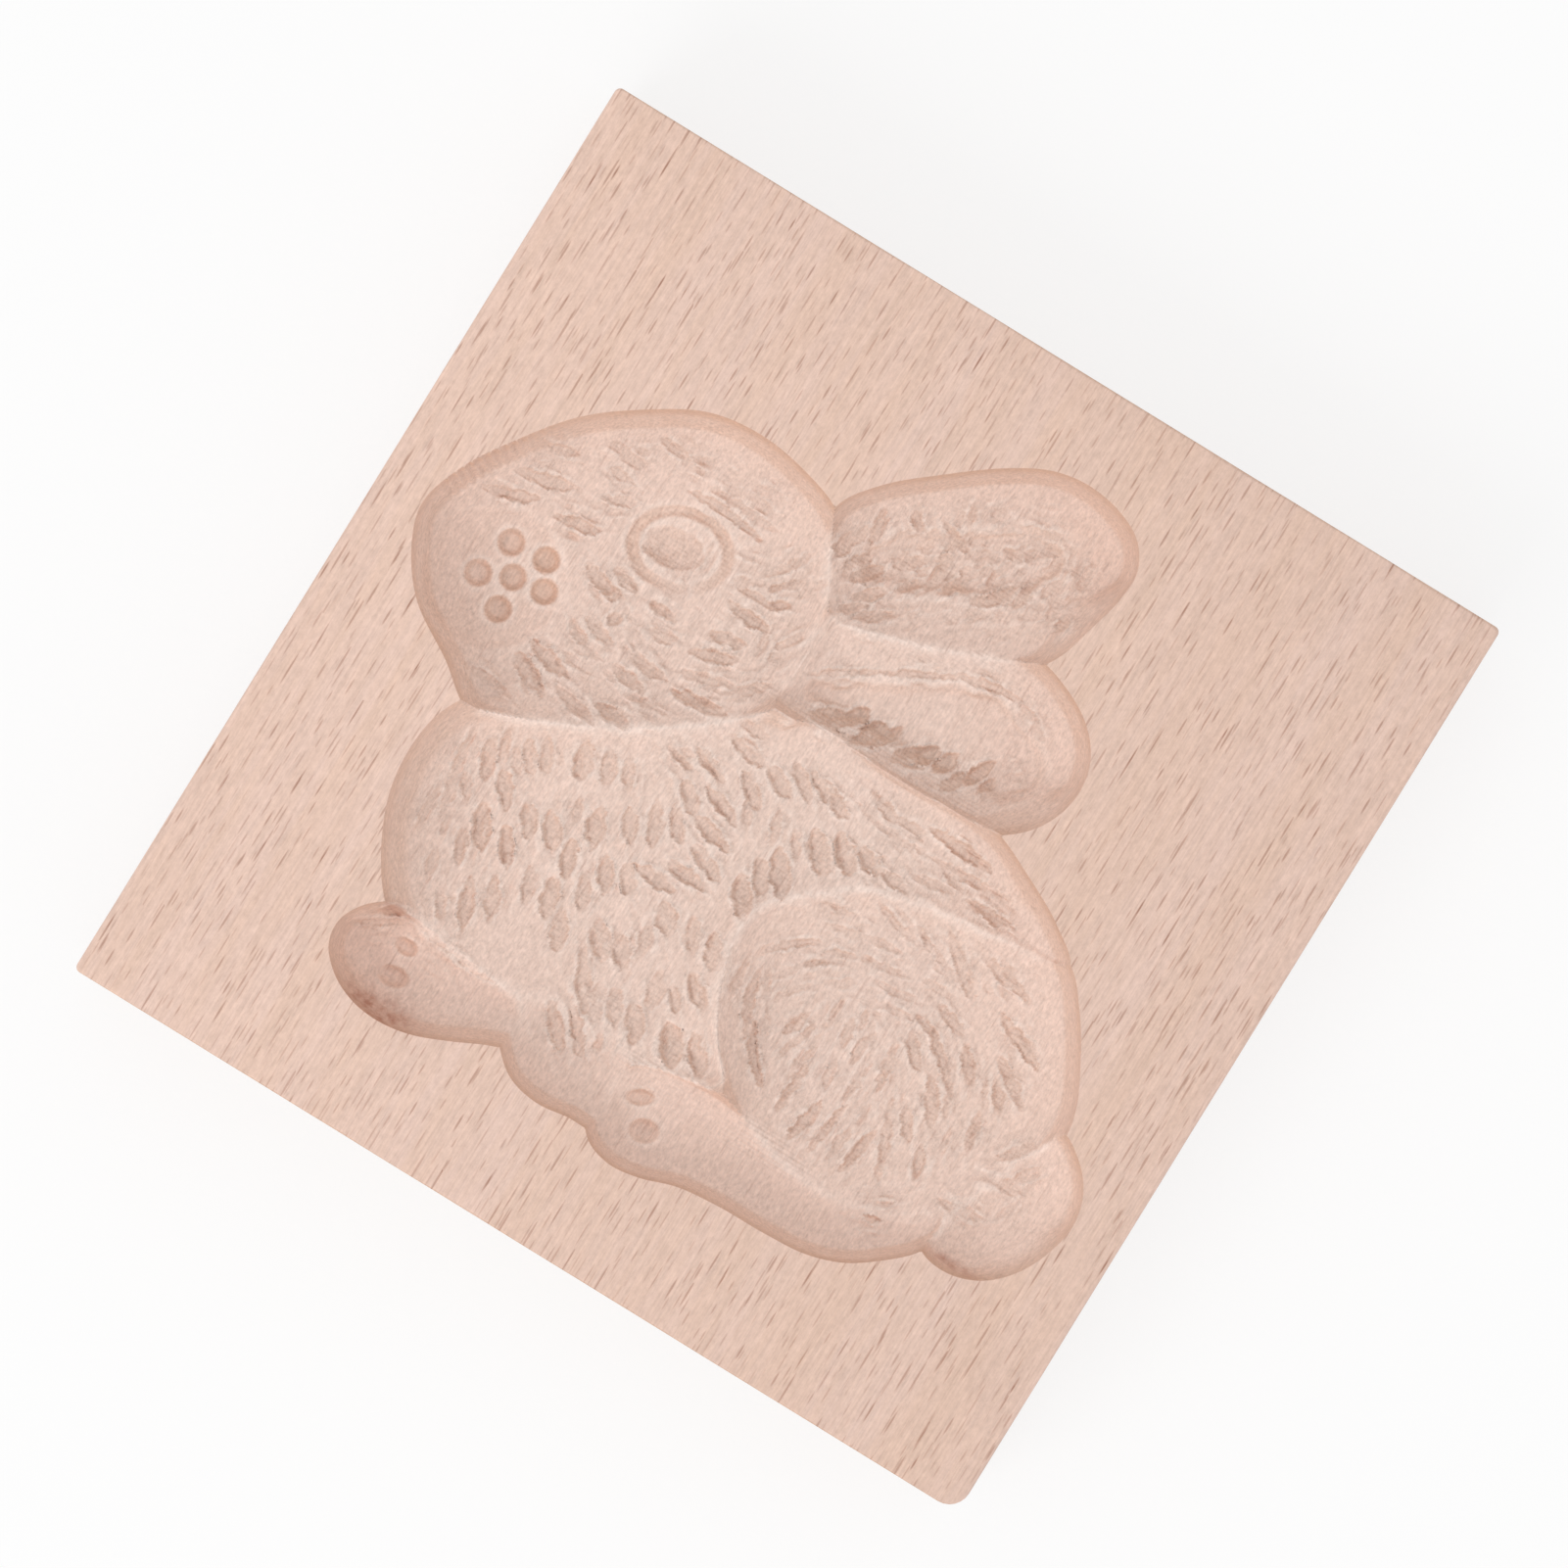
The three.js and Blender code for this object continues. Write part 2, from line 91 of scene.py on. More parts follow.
# Form of the hollow, in millimetres. A lobe is one form of the rabbit: a smooth closed outline at the top
# face and a spine of x, y, depth along its deepest line. Where two lobes cross, the deeper one wins and a
# ridge stands.
HEAD_DEPTH = 8.2
CHEST_DEPTH = 7.4
FLANK_DEPTH = 6.6
BACK_DEPTH = 5.9
HAUNCH_DEPTH = 8.2
EAR_DEPTH = 6.6
EAR_TIP_DEPTH = 5.8
PAW_DEPTH = 6.9
FOOT_DEPTH = 5.9
TAIL_DEPTH = 5.3
OUTLINES = {
    "head": (
        (-30.6, -8.9), (-35.2, -5.8), (-40.6, -2.3), (-43.9, 2.2), (-45, 6), (-43.5, 10.9), (-40.6, 15.6),
        (-36.4, 20.9), (-31.4, 24.8), (-26, 27.8), (-20.5, 28.6), (-15, 27.8), (-10.6, 26.2), (-7.4, 23.2),
        (-5.2, 18.6), (-4.4, 13.6), (-4.6, 8.5), (-7, 3.3), (-11.7, -0.7), (-16, -3.5), (-20.6, -6),
        (-25.3, -8),
    ),
    "chest": (
        (-31.2, -7.5), (-33.1, -11), (-33.6, -15.5), (-32.9, -20), (-30.8, -24.7), (-28, -28.6),
        (-23.5, -32), (-17, -33.8), (-10, -33.4), (-3, -33), (4, -31), (9.8, -28.6), (10.6, -25.6),
        (8.2, -22), (6.2, -18), (5.3, -13.5), (6.6, -9.4), (9.6, -4), (9.6, 2), (6, 7), (-2, 8.4),
        (-9.5, 6.2), (-14, 2.8), (-17.9, 0.2), (-22, -2.1), (-26.6, -4.4),
    ),
    "back": (
        (-3, 8.1), (8, 8.1), (18, 8.1), (23.8, 5.8), (28.6, 3.2), (31.6, 0.5), (29.2, -2.2), (22, -2.9),
        (15.7, -4.2), (11.5, -5.9), (7.5, -9.1), (1, -11), (-5, -7), (-7, 0),
    ),
    "haunch": (
        (1.3, -12), (2, -16.6), (4.1, -21.8), (7.4, -26), (12.2, -29.8), (18.5, -33), (25, -33.6),
        (31, -31.4), (35.4, -26.6), (38.6, -20.4), (39.9, -14.2), (39.4, -11), (37.3, -6.7), (34.8, -2.8),
        (31.6, 0.7), (27.2, 1.8), (21.6, 1.1), (14.5, -0.3), (9.2, -2.1), (4.9, -5.3), (2.3, -8.8),
    ),
    "near_ear": (
        (-6.9, 7), (-7.2, 12), (-6.9, 18.2), (-2.1, 19.9), (4, 21.9), (9.3, 24), (13.2, 24.3), (16.8, 23.4),
        (20.5, 21.4), (22.8, 18.7), (23.6, 15.4), (22.9, 12), (21, 9.2), (17.8, 7.1), (12, 6.4), (3, 6.3),
    ),
    "far_ear": (
        (-10.8, 26.6), (-8.2, 30.5), (-3.8, 34.4), (1, 38.1), (5, 40.3), (8.6, 41), (12.4, 40.5),
        (15.5, 39), (17.2, 36.4), (17.2, 33.2), (16.3, 29.4), (15.1, 25.4), (13, 22.5), (9.3, 20.2),
        (4.4, 18.2), (-0.7, 16.6), (-5.4, 15.8), (-8.4, 18.6), (-10.4, 22.4),
    ),
    "front_paw": (
        (-25.9, -27.9), (-29, -29.6), (-30.7, -32.4), (-30.4, -35), (-28.4, -37.2), (-25.7, -38.5),
        (-22.5, -38.9), (-19.2, -38.4), (-15.9, -37.1), (-12.8, -35.6), (-9.6, -34), (-8.4, -31),
        (-11.4, -28.6), (-19, -27.8),
    ),
    "second_paw": (
        (-13.4, -31.6), (-11.1, -34.9), (-8.6, -36.9), (-5.3, -37.6), (-2, -37.2), (1, -36.9), (1.9, -34),
        (1, -29), (-3, -25.6), (-9, -25.4), (-13, -27.6),
    ),
    "hind_foot": (
        (-1.1, -32), (-0.9, -35.6), (0.8, -38), (3.6, -38.95), (6.8, -38.6), (10.5, -37.4), (15, -36.9),
        (20, -36.8), (24.5, -36.4), (28, -35.2), (30.9, -33.2), (33.6, -30.6), (35, -27.6), (33.6, -24.6),
        (29.6, -25.2), (25, -27.6), (20, -28.2), (15.4, -28), (10.4, -27.3), (4.8, -27.6), (0.6, -28.9),
    ),
    "tail": (
        (38.8, -13.2), (42, -14.8), (44.2, -17.4), (45, -20.6), (44.3, -24.2), (42.8, -27.2), (40.4, -29.6),
        (37.2, -30.8), (34, -30.4), (31.4, -28), (30.4, -24), (31.6, -19.4), (34.4, -15),
    ),
}
SPINES = {
    "head": ((-32, 5.5, HEAD_DEPTH), (-21, 12, HEAD_DEPTH), (-15, 15, HEAD_DEPTH - 0.8)),
    "chest": ((-21, -16, CHEST_DEPTH), (-10, -15, CHEST_DEPTH), (0, -8, FLANK_DEPTH)),
    "back": ((0, -6, FLANK_DEPTH), (8, 1.6, BACK_DEPTH), (24, 2, BACK_DEPTH)),
    "haunch": ((13, -16, HAUNCH_DEPTH), (25, -13, HAUNCH_DEPTH)),
    "near_ear": ((-0.5, 11.6, EAR_DEPTH), (15.5, 14.8, EAR_DEPTH - 0.4)),
    "far_ear": ((-4, 23.5, EAR_DEPTH), (3, 28.5, EAR_DEPTH), (10.5, 34, EAR_TIP_DEPTH)),
    "front_paw": ((-25, -33.8, PAW_DEPTH), (-15, -32.6, PAW_DEPTH - 0.8)),
    "second_paw": ((-7.5, -30.6, FOOT_DEPTH), (-3.4, -32.4, FOOT_DEPTH - 0.2)),
    "hind_foot": ((4.5, -33.2, FOOT_DEPTH), (20, -33, FOOT_DEPTH), (29.5, -30.2, FOOT_DEPTH - 0.4)),
    "tail": ((38.4, -20, TAIL_DEPTH), (37.6, -26, TAIL_DEPTH - 0.4)),
}
# A lobe's wall where it isn't the usual one: its lean and its depth as shares of the usual lean and depth.
WALL_SHARES = {
    "back": (0.8, 1), "haunch": (0.85, 1), "near_ear": (0.85, 0.95), "far_ear": (0.85, 1),
    "front_paw": (0.8, 1), "second_paw": (0.65, 1), "hind_foot": (0.6, 1), "tail": (0.6, 0.65),
}
# How much a wall eases into the floor, and a floor into its spine: 1 is straight, and more is rounder.
WALL_EASE = 1.35
FLOOR_EASE = 3.0
SMALL_FLOOR_EASE = 2.1
SMALL_LOBES = ("tail", "front_paw", "second_paw", "hind_foot")
# Places where a lobe's wall leans twice as far and fades into the floor: x, y, reach. There its painted shade
# is fainter.
SOFT_WALLS = {"near_ear": (21, 10.5, 5.5), "far_ear": (15.8, 29, 6), "tail": (43, -26, 5.5)}
INNER_EARS = (
    (
        (-4.4, 9.4), (-4.4, 11.3), (-1, 13.5), (3.5, 15.8), (8, 18.4), (12.6, 19.4), (17, 18.4), (20.2, 16),
        (20.6, 13), (18.4, 10.3), (12, 9.3), (3, 9.1),
    ),
    (
        (-7.2, 24.6), (-3.6, 29), (1, 31.8), (5, 34.5), (8.6, 35.5), (11.3, 34.3), (11.3, 31.4), (8.4, 28),
        (4, 25.2), (-1, 22.8), (-5.2, 21.8),
    ),
)
# Ovals are x, y, half length, half width, turn in degrees.
EYE_RING = (-21.6, 15.2, 4.75, 3.7, 15)
PUPIL = (-22.3, 15, 3.3, 2.1, 12)
EYE_RING_HALF_WIDTH = 0.85
EYEBALL_DEPTH = 0.2
TOES = (
    (-24, -31.6, 1.3, 0.9, 0), (-23.6, -34.7, 1.7, 1.1, 10), (3, -32.1, 1.5, 0.9, 30),
    (5, -34.7, 1.6, 1.3, 20),
)
# The round cheek that the whisker dots stand on.
MUZZLE = (-35.6, 3.4, 7.1, 7.1, 0)
MUZZLE_DEPTH = 0.22
# Whisker dots are x, y and how dark they are: partly the colour of cut wood and partly painted shade.
WHISKER_DOTS = (
    (-36, 7.2, 0.6), (-32.2, 7.5, 1), (-34.1, 4.4, 0.7), (-30.8, 4.8, 1), (-37.2, 3, 0.4), (-33.7, 1, 0.7),
)

# Fur is cut with a gouge, one short cut a lock of hair. A cut is x, y, angle in degrees, length, width, and
# where it isn't plain also its strength and its bend, the height of its arc over the chord.
FUR = {
    "head": (
        (-27, 23.2, -5, 3.4, 1), (-24.5, 23.6, 0, 1.8, 0.7), (-20.3, 22.8, 0, 3.2, 1, 0.6),
        (-17.3, 23, -5, 3.4, 1.2, 0.6), (-17.3, 24.2, 5, 2.4, 0.8, 0.6), (-30.9, 20.4, 0, 4.6, 0.8),
        (-30.1, 19.8, 5, 2, 0.7), (-30.1, 18.3, -5, 3, 0.8), (-29.4, 21.4, 30, 1.4, 0.6),
        (-19.7, 20.4, -3, 8.5, 0.9, 1.2, 0.5), (-18.3, 21.7, -1, 8, 0.7, 0.9, 0.3),
        (-29, 16.2, 22, 3.6, 0.9), (-36.2, 17.4, 15, 3, 0.9), (-37.2, 15.3, 8, 3.4, 0.6),
        (-36, 14.2, 15, 6, 1.3), (-38.4, 11.2, 20, 5.4, 1, 1.3), (-31.5, 12.1, 12, 4.6, 1.1, 1.4),
        (-26.2, 8.6, -15, 4.9, 1.5, 1.2, -0.5), (-24.6, 9.9, -12, 3, 1.1), (-20, 9.2, -5, 3.2, 1),
        (-18.6, 7.2, 12, 3.2, 1.1), (-13.4, 8.1, 22, 4.8, 1.2, 1.3), (-13, 15.1, 0, 4.4, 0.7),
        (-12.3, 13.1, -3, 4.4, 1.3, 1.2), (-10.1, 11.7, -75, 3, 0.7, 0.9, 0.3), (-13, 10.2, 12, 3.6, 1.2),
        (-12.7, 5.9, 18, 5.4, 1), (-12.3, 3.5, 8, 5.4, 1.3, 1.3), (-24.3, 4.4, -15, 3.8, 1.2),
        (-25.9, 3.1, -28, 3, 1.2), (-23.5, 6.2, 80, 1.5, 1.2), (-18.4, 3.9, -5, 4.2, 1.2, 1, -0.3),
        (-19.3, 1.9, -8, 3.6, 1.3), (-16.6, 0.7, 5, 4.8, 0.8), (-26.9, -0.5, -14, 4.8, 1.4, 1.3),
        (-27.8, -2.7, -26, 4.4, 1.6, 1.3), (-22.4, -3, -12, 4.6, 1.3), (-18.8, -1.9, -3, 4, 1.4, 1.4),
        (-30.7, -5.4, -6, 6.4, 0.8), (-24.3, 0.3, 0, 3.2, 0.7, 0.7), (-23.8, 2.1, 5, 2.6, 0.7, 0.7),
        (-11.4, 19.8, 60, 3.6, 0.9), (-11.6, 16.9, 45, 1.5, 0.8, 1.3), (-10.6, 15.6, 25, 2.4, 0.9, 1.4),
        (-14.2, 16.1, 25, 2.6, 0.7, 0.7), (-10.3, 18.1, 35, 3, 0.9, 0.8), (-12.4, 18.6, 50, 2.4, 0.7, 0.7),
        (-7.7, 13.3, 62, 3, 0.9), (-8.7, 7.2, 42, 4.4, 1.1), (-8.4, 11.2, 60, 1.6, 0.5),
        (-20.6, 5.8, -20, 2.6, 0.8, 0.6), (-15.2, 18.2, 20, 2.4, 0.7, 0.5),
    ),
    "chest": (
        (-22.1, -8.6, -62, 3.4, 1.3), (-23.4, -9.6, -50, 3.4, 1.2), (-18.8, -7.2, -70, 3.6, 1.7),
        (-16.4, -6.5, -65, 3.2, 1.5), (-14.4, -6.1, -62, 3.2, 1.1), (-26.8, -11.9, -68, 4, 1.3, 1.2),
        (-26.1, -9.9, -80, 3.2, 0.9), (-24.3, -10.5, -55, 2.6, 1), (-29.2, -12.5, -85, 7, 0.7),
        (-28.3, -16.5, -80, 6, 0.8), (-29.3, -19, -87, 5.5, 0.8), (-23.9, -13.5, -55, 3.8, 1.4, 1.2),
        (-16.8, -11.6, -72, 2.6, 0.8), (-14.4, -12.2, -72, 3.8, 1.8, 1.1), (-11.7, -10.3, -62, 3.6, 1.4),
        (-20.4, -14.8, -58, 3.4, 1.5, 1.1), (-17.9, -14.5, -55, 3.8, 1.7, 1.1),
        (-15.1, -16, -68, 3.6, 1.4, 1.2), (-11.2, -15.6, -62, 3.6, 1.5, 1.1),
        (-9.1, -14.8, -55, 3, 1.4, 1.1), (-27.3, -15.2, -62, 3, 1.1), (-23.9, -17.9, -62, 4.6, 1.6, 1.4),
        (-20.9, -18.1, -55, 4, 1.4, 1.3), (-17.1, -20.3, -70, 3.8, 1.2), (-14.7, -20.3, -72, 4.2, 1.5, 1.1),
        (-12.2, -18.1, -68, 3.6, 1.3), (-24.6, -20.6, -68, 3.4, 1.2, 1.2), (-21.2, -25, -68, 5.2, 1.2, 1.3),
        (-19.4, -23.2, -65, 4.2, 1.3, 1.1), (-23.3, -26.3, -58, 3, 1), (-12.2, -22.4, -66, 4, 1.6, 1.1),
        (-8.2, -21.2, -50, 3.6, 2), (-6.1, -20.9, -55, 3.4, 1.8), (-3.9, -16.1, -50, 3.2, 1.8, 0.9),
        (-4.6, -18.8, -60, 2.6, 1.2, 0.8), (-4.4, -6.7, -16, 4.4, 1.4, 1.3),
        (-3.6, -9.4, -22, 4.2, 1.4, 1.1), (-4.5, -11.5, -4, 4, 1.3, 1.4), (-6.9, -13.3, -4, 4.4, 1.2, 1.3),
        (-7.8, -7.7, -50, 3.6, 1.3), (-9.7, -8.9, -62, 3.8, 1.4), (-8.4, -23.8, -50, 3, 1.1),
        (-7, -26.2, -48, 5, 1.4, 1.1), (-5.2, -27, -60, 4.5, 1), (-7.6, -30.6, -46, 4.8, 1.3, 1.2),
        (-6, -29.3, -44, 5.2, 0.9, 1.4), (-5.6, -30.1, -30, 1.2, 0.8, 2), (-4.6, -31.2, -40, 2, 0.7),
        (-3.2, -29.8, -75, 2.4, 0.8), (-20.5, -29.5, -7, 11, 0.6, 1, -0.2),
        (-26.8, -29.2, 30, 3.2, 0.8, 1.3), (-27.4, -30.8, 32, 5, 0.6, 1.1),
        (-26.1, -23.4, -75, 3.6, 0.8, 0.8), (-27, -19.2, -75, 3, 0.8, 0.7),
    ),
    "flank": (
        (-6.4, 4.1, -3, 3.4, 1), (-5.8, 2.1, -10, 4, 1.5), (-1.5, 1, -22, 3.4, 1.4),
        (0.4, 2.2, -38, 3.8, 1.2), (3.4, 2.4, -20, 5.4, 1.4, 1.3), (-3.4, -1.1, -38, 3.8, 1.4, 1.4),
        (-8.2, -1, -20, 4, 1.1), (-11, -1.9, -12, 3.2, 1), (-5.2, -3.8, -22, 4.4, 1.1, 1.3),
        (-8.2, -4.8, -40, 3.2, 1.5), (-2.6, -3.2, -55, 2.6, 0.9), (5.4, -2.7, -46, 4.4, 1.9, 1.2),
        (7.6, -1.6, -42, 3.8, 1.9, 1.2), (9.9, -0.9, -26, 3.2, 1.6, 1.2), (12.9, -1.3, -10, 3.2, 1.2),
        (3.2, -6.5, -55, 4.8, 2, 1.1), (1.7, -7.8, -52, 3.6, 1.4), (1.2, -10.3, -58, 4, 1.9, 1.1),
        (0.5, -3, -70, 3.4, 1), (3, -3.2, -60, 3.2, 1), (1.6, -16.4, -62, 3.6, 1.5),
        (-0.9, -16, -60, 3.2, 1.4, 0.9), (2.4, -20.6, -42, 3.6, 1.5), (0.8, -22.2, -50, 2.8, 1),
        (-1.2, -22.5, -75, 3.6, 1.6, 0.8), (-3.7, -26, -55, 3.6, 1.4), (-1.3, -26.2, -55, 3.6, 1.8),
        (2.9, -26.2, -50, 3.6, 2.2, 1.2), (5.6, -25.7, -48, 3.8, 1.7, 1.2),
    ),
    "back": (
        (8.5, 4.3, -18, 3.8, 1.1), (11.7, 4.1, 4, 3.2, 0.8), (10.2, 2.7, -4, 8, 0.7, 1, -0.5),
        (17, 4.7, -4, 7, 1.4, 1.3), (19.2, 2.7, 2, 9, 0.9), (17.6, 1.9, -20, 3.2, 0.9),
        (16.4, 0.4, 8, 4.4, 0.9), (22.6, 0.8, 0, 5, 1.1, 1.3),
    ),
    "haunch": (
        (15.4, -4.7, -18, 5.4, 0.9), (19.6, -4.9, -24, 5.2, 1), (23, -4.9, -38, 7, 1.5),
        (27.4, -3.7, -14, 6.4, 1.3), (13.8, -7.5, 10, 7.4, 0.8, 1, 0.5), (9.7, -6.6, 14, 3.4, 0.8),
        (16.5, -9, 10, 5, 0.9), (19, -10.4, 6, 5, 0.8), (22.3, -8, 0, 3.4, 1, 0.7),
        (24.9, -10, -22, 4, 1.3), (31.6, -8.2, -24, 5.6, 1.6, 1.3), (32.9, -12, -36, 5.4, 1.4, 1.1),
        (28.6, -12.8, -48, 3.4, 1.7, 1.2), (25.9, -13.8, -42, 8, 1.3, 1.2, 0.4),
        (23.5, -14.6, -50, 4, 1.4, 1.2), (32.6, -13.9, -52, 3.2, 1.3), (27.3, -17.6, -58, 4.8, 1.8, 1.1),
        (32.3, -18.2, -78, 4.4, 1.2), (26.4, -20.6, -58, 4.2, 1.2, 1.1), (29.3, -23.2, -75, 3.6, 1.2),
        (25.8, -23.9, -70, 6, 1.1, 1.2), (21.9, -17.2, -80, 4.8, 1.3, 1.1), (18.8, -17, 85, 3.6, 1.2),
        (16.9, -16.4, -80, 3, 1.2), (17.5, -20.6, -80, 3.4, 1.1), (20.2, -20.2, 86, 4.6, 0.9),
        (15, -23.6, 88, 5.4, 1.1, 1.4), (17.8, -25.6, 80, 4.6, 1.5, 1.4), (20, -25.3, 82, 5.8, 1, 1.4),
        (21.8, -25.8, 85, 3.6, 1.2), (23.7, -25.6, 82, 4.6, 1.2, 1.4), (7.6, -12.1, 42, 6, 1, 1.2, 0.4),
        (10.3, -22.5, -52, 6.6, 1.4, 1.5, -0.5), (7.4, -18.6, -72, 6.4, 1.4, 1.1, -0.4),
        (5.3, -17.5, -80, 6, 0.9, 0.9, -0.4), (12.2, -18, 70, 3, 1.3, 1.1), (13.3, -18.7, 80, 3, 0.9),
        (9.7, -16.2, 60, 3, 0.9, 0.7), (11.3, -14.6, 45, 3.4, 0.8, 0.6), (14.6, -20.6, 80, 3, 0.9),
        (12.6, -12.2, 30, 3.6, 0.8, 0.6), (17.4, -12.6, 15, 4.4, 0.8, 0.7), (28.5, -28.5, 35, 2, 0.8),
        (28.4, -30.4, 20, 1.4, 0.8, 1.6), (8.9, -14.2, 55, 3.2, 0.8, 0.6), (14.8, -15.4, -85, 3, 0.9),
        (14.2, -21.5, -85, 3, 0.8), (12.6, -20.8, 80, 2.6, 0.7), (24.2, -20.4, -68, 3.2, 0.8),
        (22.4, -22.2, -85, 2.6, 0.7), (28.7, -16.8, -65, 3.2, 0.8), (30.8, -13.4, -60, 3, 0.7),
        (30.6, -20.2, -80, 2.8, 0.7), (12.4, -10, 18, 4, 0.8), (20, -12, 5, 3, 0.8),
        (7.6, -16, -70, 3, 0.8), (9.6, -19.4, -60, 3, 0.8), (22.9, -11.6, -20, 3, 0.8),
        (17.6, -14.4, -75, 2.4, 0.7), (10.6, -12.2, 35, 3, 0.8),
    ),
    "tail": (
        (36.9, -17.5, 50, 4.4, 1), (38.9, -18.9, 60, 2.8, 1, 0.8), (38.2, -20.8, 0, 2.8, 1.2, 0.8),
        (36.4, -21, 20, 2, 0.8, 0.7), (34.6, -25.5, -5, 3.8, 0.7), (36, -24.8, 0, 4, 0.6),
        (39.2, -22.6, 80, 2, 0.7, 0.6),
    ),
    "far_ear": (
        (-6.4, 27.2, -80, 3.6, 1, 1.3), (-3.4, 29.6, -35, 2, 0.9), (0.5, 30.3, -18, 4, 0.8, 1.3),
        (0.8, 33, -80, 2.2, 0.8), (3, 34.2, 60, 2, 0.9, 0.8), (5.6, 28.4, 85, 2.4, 0.8, 1.3),
        (7.2, 27.6, 55, 4.2, 1.3, 1.4), (9.2, 28.7, 85, 2.8, 1.2, 1.2), (12.3, 29.3, 88, 2.6, 0.7),
        (6, 26.4, 25, 3, 1), (3, 26.2, 60, 3, 1.2), (1, 26.6, 75, 3, 1.1), (-1.6, 26.2, 40, 2.6, 1.1),
        (-2.7, 25.4, -70, 2.2, 1), (-5, 22.7, 50, 3.4, 1.4, 1.2), (-3.5, 21.2, 50, 3, 1.2, 1.2),
        (-6.2, 23.2, 60, 3, 1.3, 1.2), (-8.2, 24, 80, 3, 1.4), (-2, 19.6, 35, 4, 1),
        (-4.2, 19.2, 40, 2.8, 1), (-0.5, 24, 50, 2.4, 1), (8.6, 33.2, 38, 4.4, 0.9),
        (6.5, 31.8, 10, 2.4, 0.9), (7.8, 34.7, 12, 6.4, 0.7, 0.9, 0.8), (12.4, 33.4, -85, 2.4, 0.6),
        (13.8, 28.4, 75, 2, 0.8), (4.2, 30, 30, 2.4, 0.9, 0.8), (-7.3, 25.7, 80, 2.4, 1),
    ),
    "near_ear": (
        (-0.8, 9, 25, 3.6, 2.1), (1.4, 10.3, 50, 3.2, 1.9), (3.6, 9.7, 55, 3.6, 2.2, 1.2),
        (5.2, 10.3, 60, 3.4, 1.2, 1.2), (7.6, 9.7, 45, 3, 1.8), (9.2, 10.7, 50, 3.2, 1.9, 1.2),
        (11.3, 11.1, 62, 3, 1.7, 1.1), (12.8, 9.9, 65, 2.8, 1.2, 1.2), (14.4, 11.8, 66, 3.6, 1.7, 1.1),
        (15.8, 11.3, 68, 2.2, 0.9), (-0.4, 8.2, 4, 3.6, 0.5, 1.8), (3.2, 8.5, 8, 2.6, 0.5, 1.8),
        (8.4, 9, 20, 3, 0.5, 1.6), (12.4, 9.3, 30, 1.8, 0.4, 1.6),
    ),
    "eye": (
        (-24.1, 13.6, -12, 2.2, 0.6, 0.8), (-21.1, 15.5, -55, 1.4, 0.4, 0.8),
        (-22.4, 13.9, 0, 0.7, 0.6, 0.8), (-19.8, 12.9, -65, 0.8, 0.35, 0.8),
        (-19.4, 15.2, 88, 1.4, 0.35, 0.7), (-21.4, 13.4, 12, 1.4, 0.4, 0.7),
    ),
    "near_ear_line": (
        (-1.6, 13.4, 33, 7.4, 0.6, 1.3), (4.6, 16.9, 27, 8, 0.6, 1.3, 0.2),
        (10.8, 19.4, 12, 7, 0.7, 1.2, 0.4), (16.2, 18.9, -24, 4.6, 0.6, 1, 0.2),
        (17.6, 13.5, 40, 1.8, 1, 0.6),
    ),
}
FUR_DEPTH_PER_WIDTH = 0.25
FUR_LENGTHENING = 1.18
FUR_WIDENING = 1.18
SLENDER_LOCKS = {"haunch": 0.72, "head": 0.9, "back": 0.9, "near_ear": 0.82}
STRONG_LOCKS = {"haunch": 1.1, "head": 1.05, "near_ear": 1.15}

# The side of a cut that is steep: -1 right of its direction, 1 left of it.
STEEP_SIDES = {"chest": -1, "flank": -1}

# How dark the cuts of a lock are where it isn't the usual shade: partly the colour of cut wood and partly
# painted shade.
USUAL_SHADE = 0.35
LOCK_SHADES = {"near_ear": 0.7, "far_ear": 0.5}

# Across a cut: the part of its width that the steep side takes, out of 2, the share of its depth at which the
# flat side starts, how ragged its edges are, and its burr, as a share of its depth and as a width.
STEEP_PART = 0.35
FLAT_START = 0.45
RAGGED_EDGE = 0.15
BURR_SHARE = 0.42
BURR_WIDTH = 0.16

# Places in the fur that stay smooth: the eye, the whisker dots and the brisket. Each is x, y, radius.
SMOOTH_SPOTS = ((-21.6, 15.2, 6), (-34, 4.6, 6), (-16.5, -27, 4.5))

# Loose hairs: seed, columns and rows as from, to and step, how far they stray, the least and the greatest
# length, width and strength, and the angle and its spread in degrees.
BODY_HAIRS = (5, (-42, 44, 1.9), (-36, 40, 1.9), 0.8, (1.4, 0.35, 0.3), (2.8, 0.6, 0.7), 0, 9)
EAR_HAIRS = (6, (-9, 14, 1.3), (18, 36, 1.3), 0.6, (1.2, 0.4, 0.5), (2.4, 0.8, 1.1), 56, 13)
# Hairs keep this far from the rim. The body's also lie between these distances from the nearest named cut.
BODY_RIM_GAP = 2.6
EAR_RIM_GAP = 2.4
HAIR_GAPS = (0.9, 3.6)
# The far ear's hairs are strongest along a line through its middle: y at x = 0, slope, and half width.
EAR_BAND = (25.5, 0.45, 7)
# The faintest hairs: their depth, and how far from the named cuts they fill the floor.
FAINT_HAIR_DEPTH = 0.2
FUR_REACH = 3.2

# Nibs that the cutter left on the muzzle's wall: where they start and their direction, depth and pitch.
NIB_START = (-43.4, 8, 62)
NIB_DEPTH = 0.16
NIB_PITCH = 0.95

# Mesh fineness: points round a corner, steps along a side, points round an eased edge, and the angle in
# degrees from which an edge is sharp.
CORNER_POINTS = 7
SIDE_STEPS = 50
EASE_POINTS = 4
SHARP_ANGLE = 38

# How far the crests between cuts and the ridges between lobes stand over what is round them where their
# painted highlight is palest.
CREST_HEIGHT = 0.16
RIDGE_HEIGHT = 0.28

# Where the cutter's fine lines show, as ovals.
MILLED = ((7, 8.1, 16, 1.6, 0), (9, -30, 13, 2.2, 0), (2, 18, 8, 1.4, 20), (13, 21.6, 6, 1.4, 5))
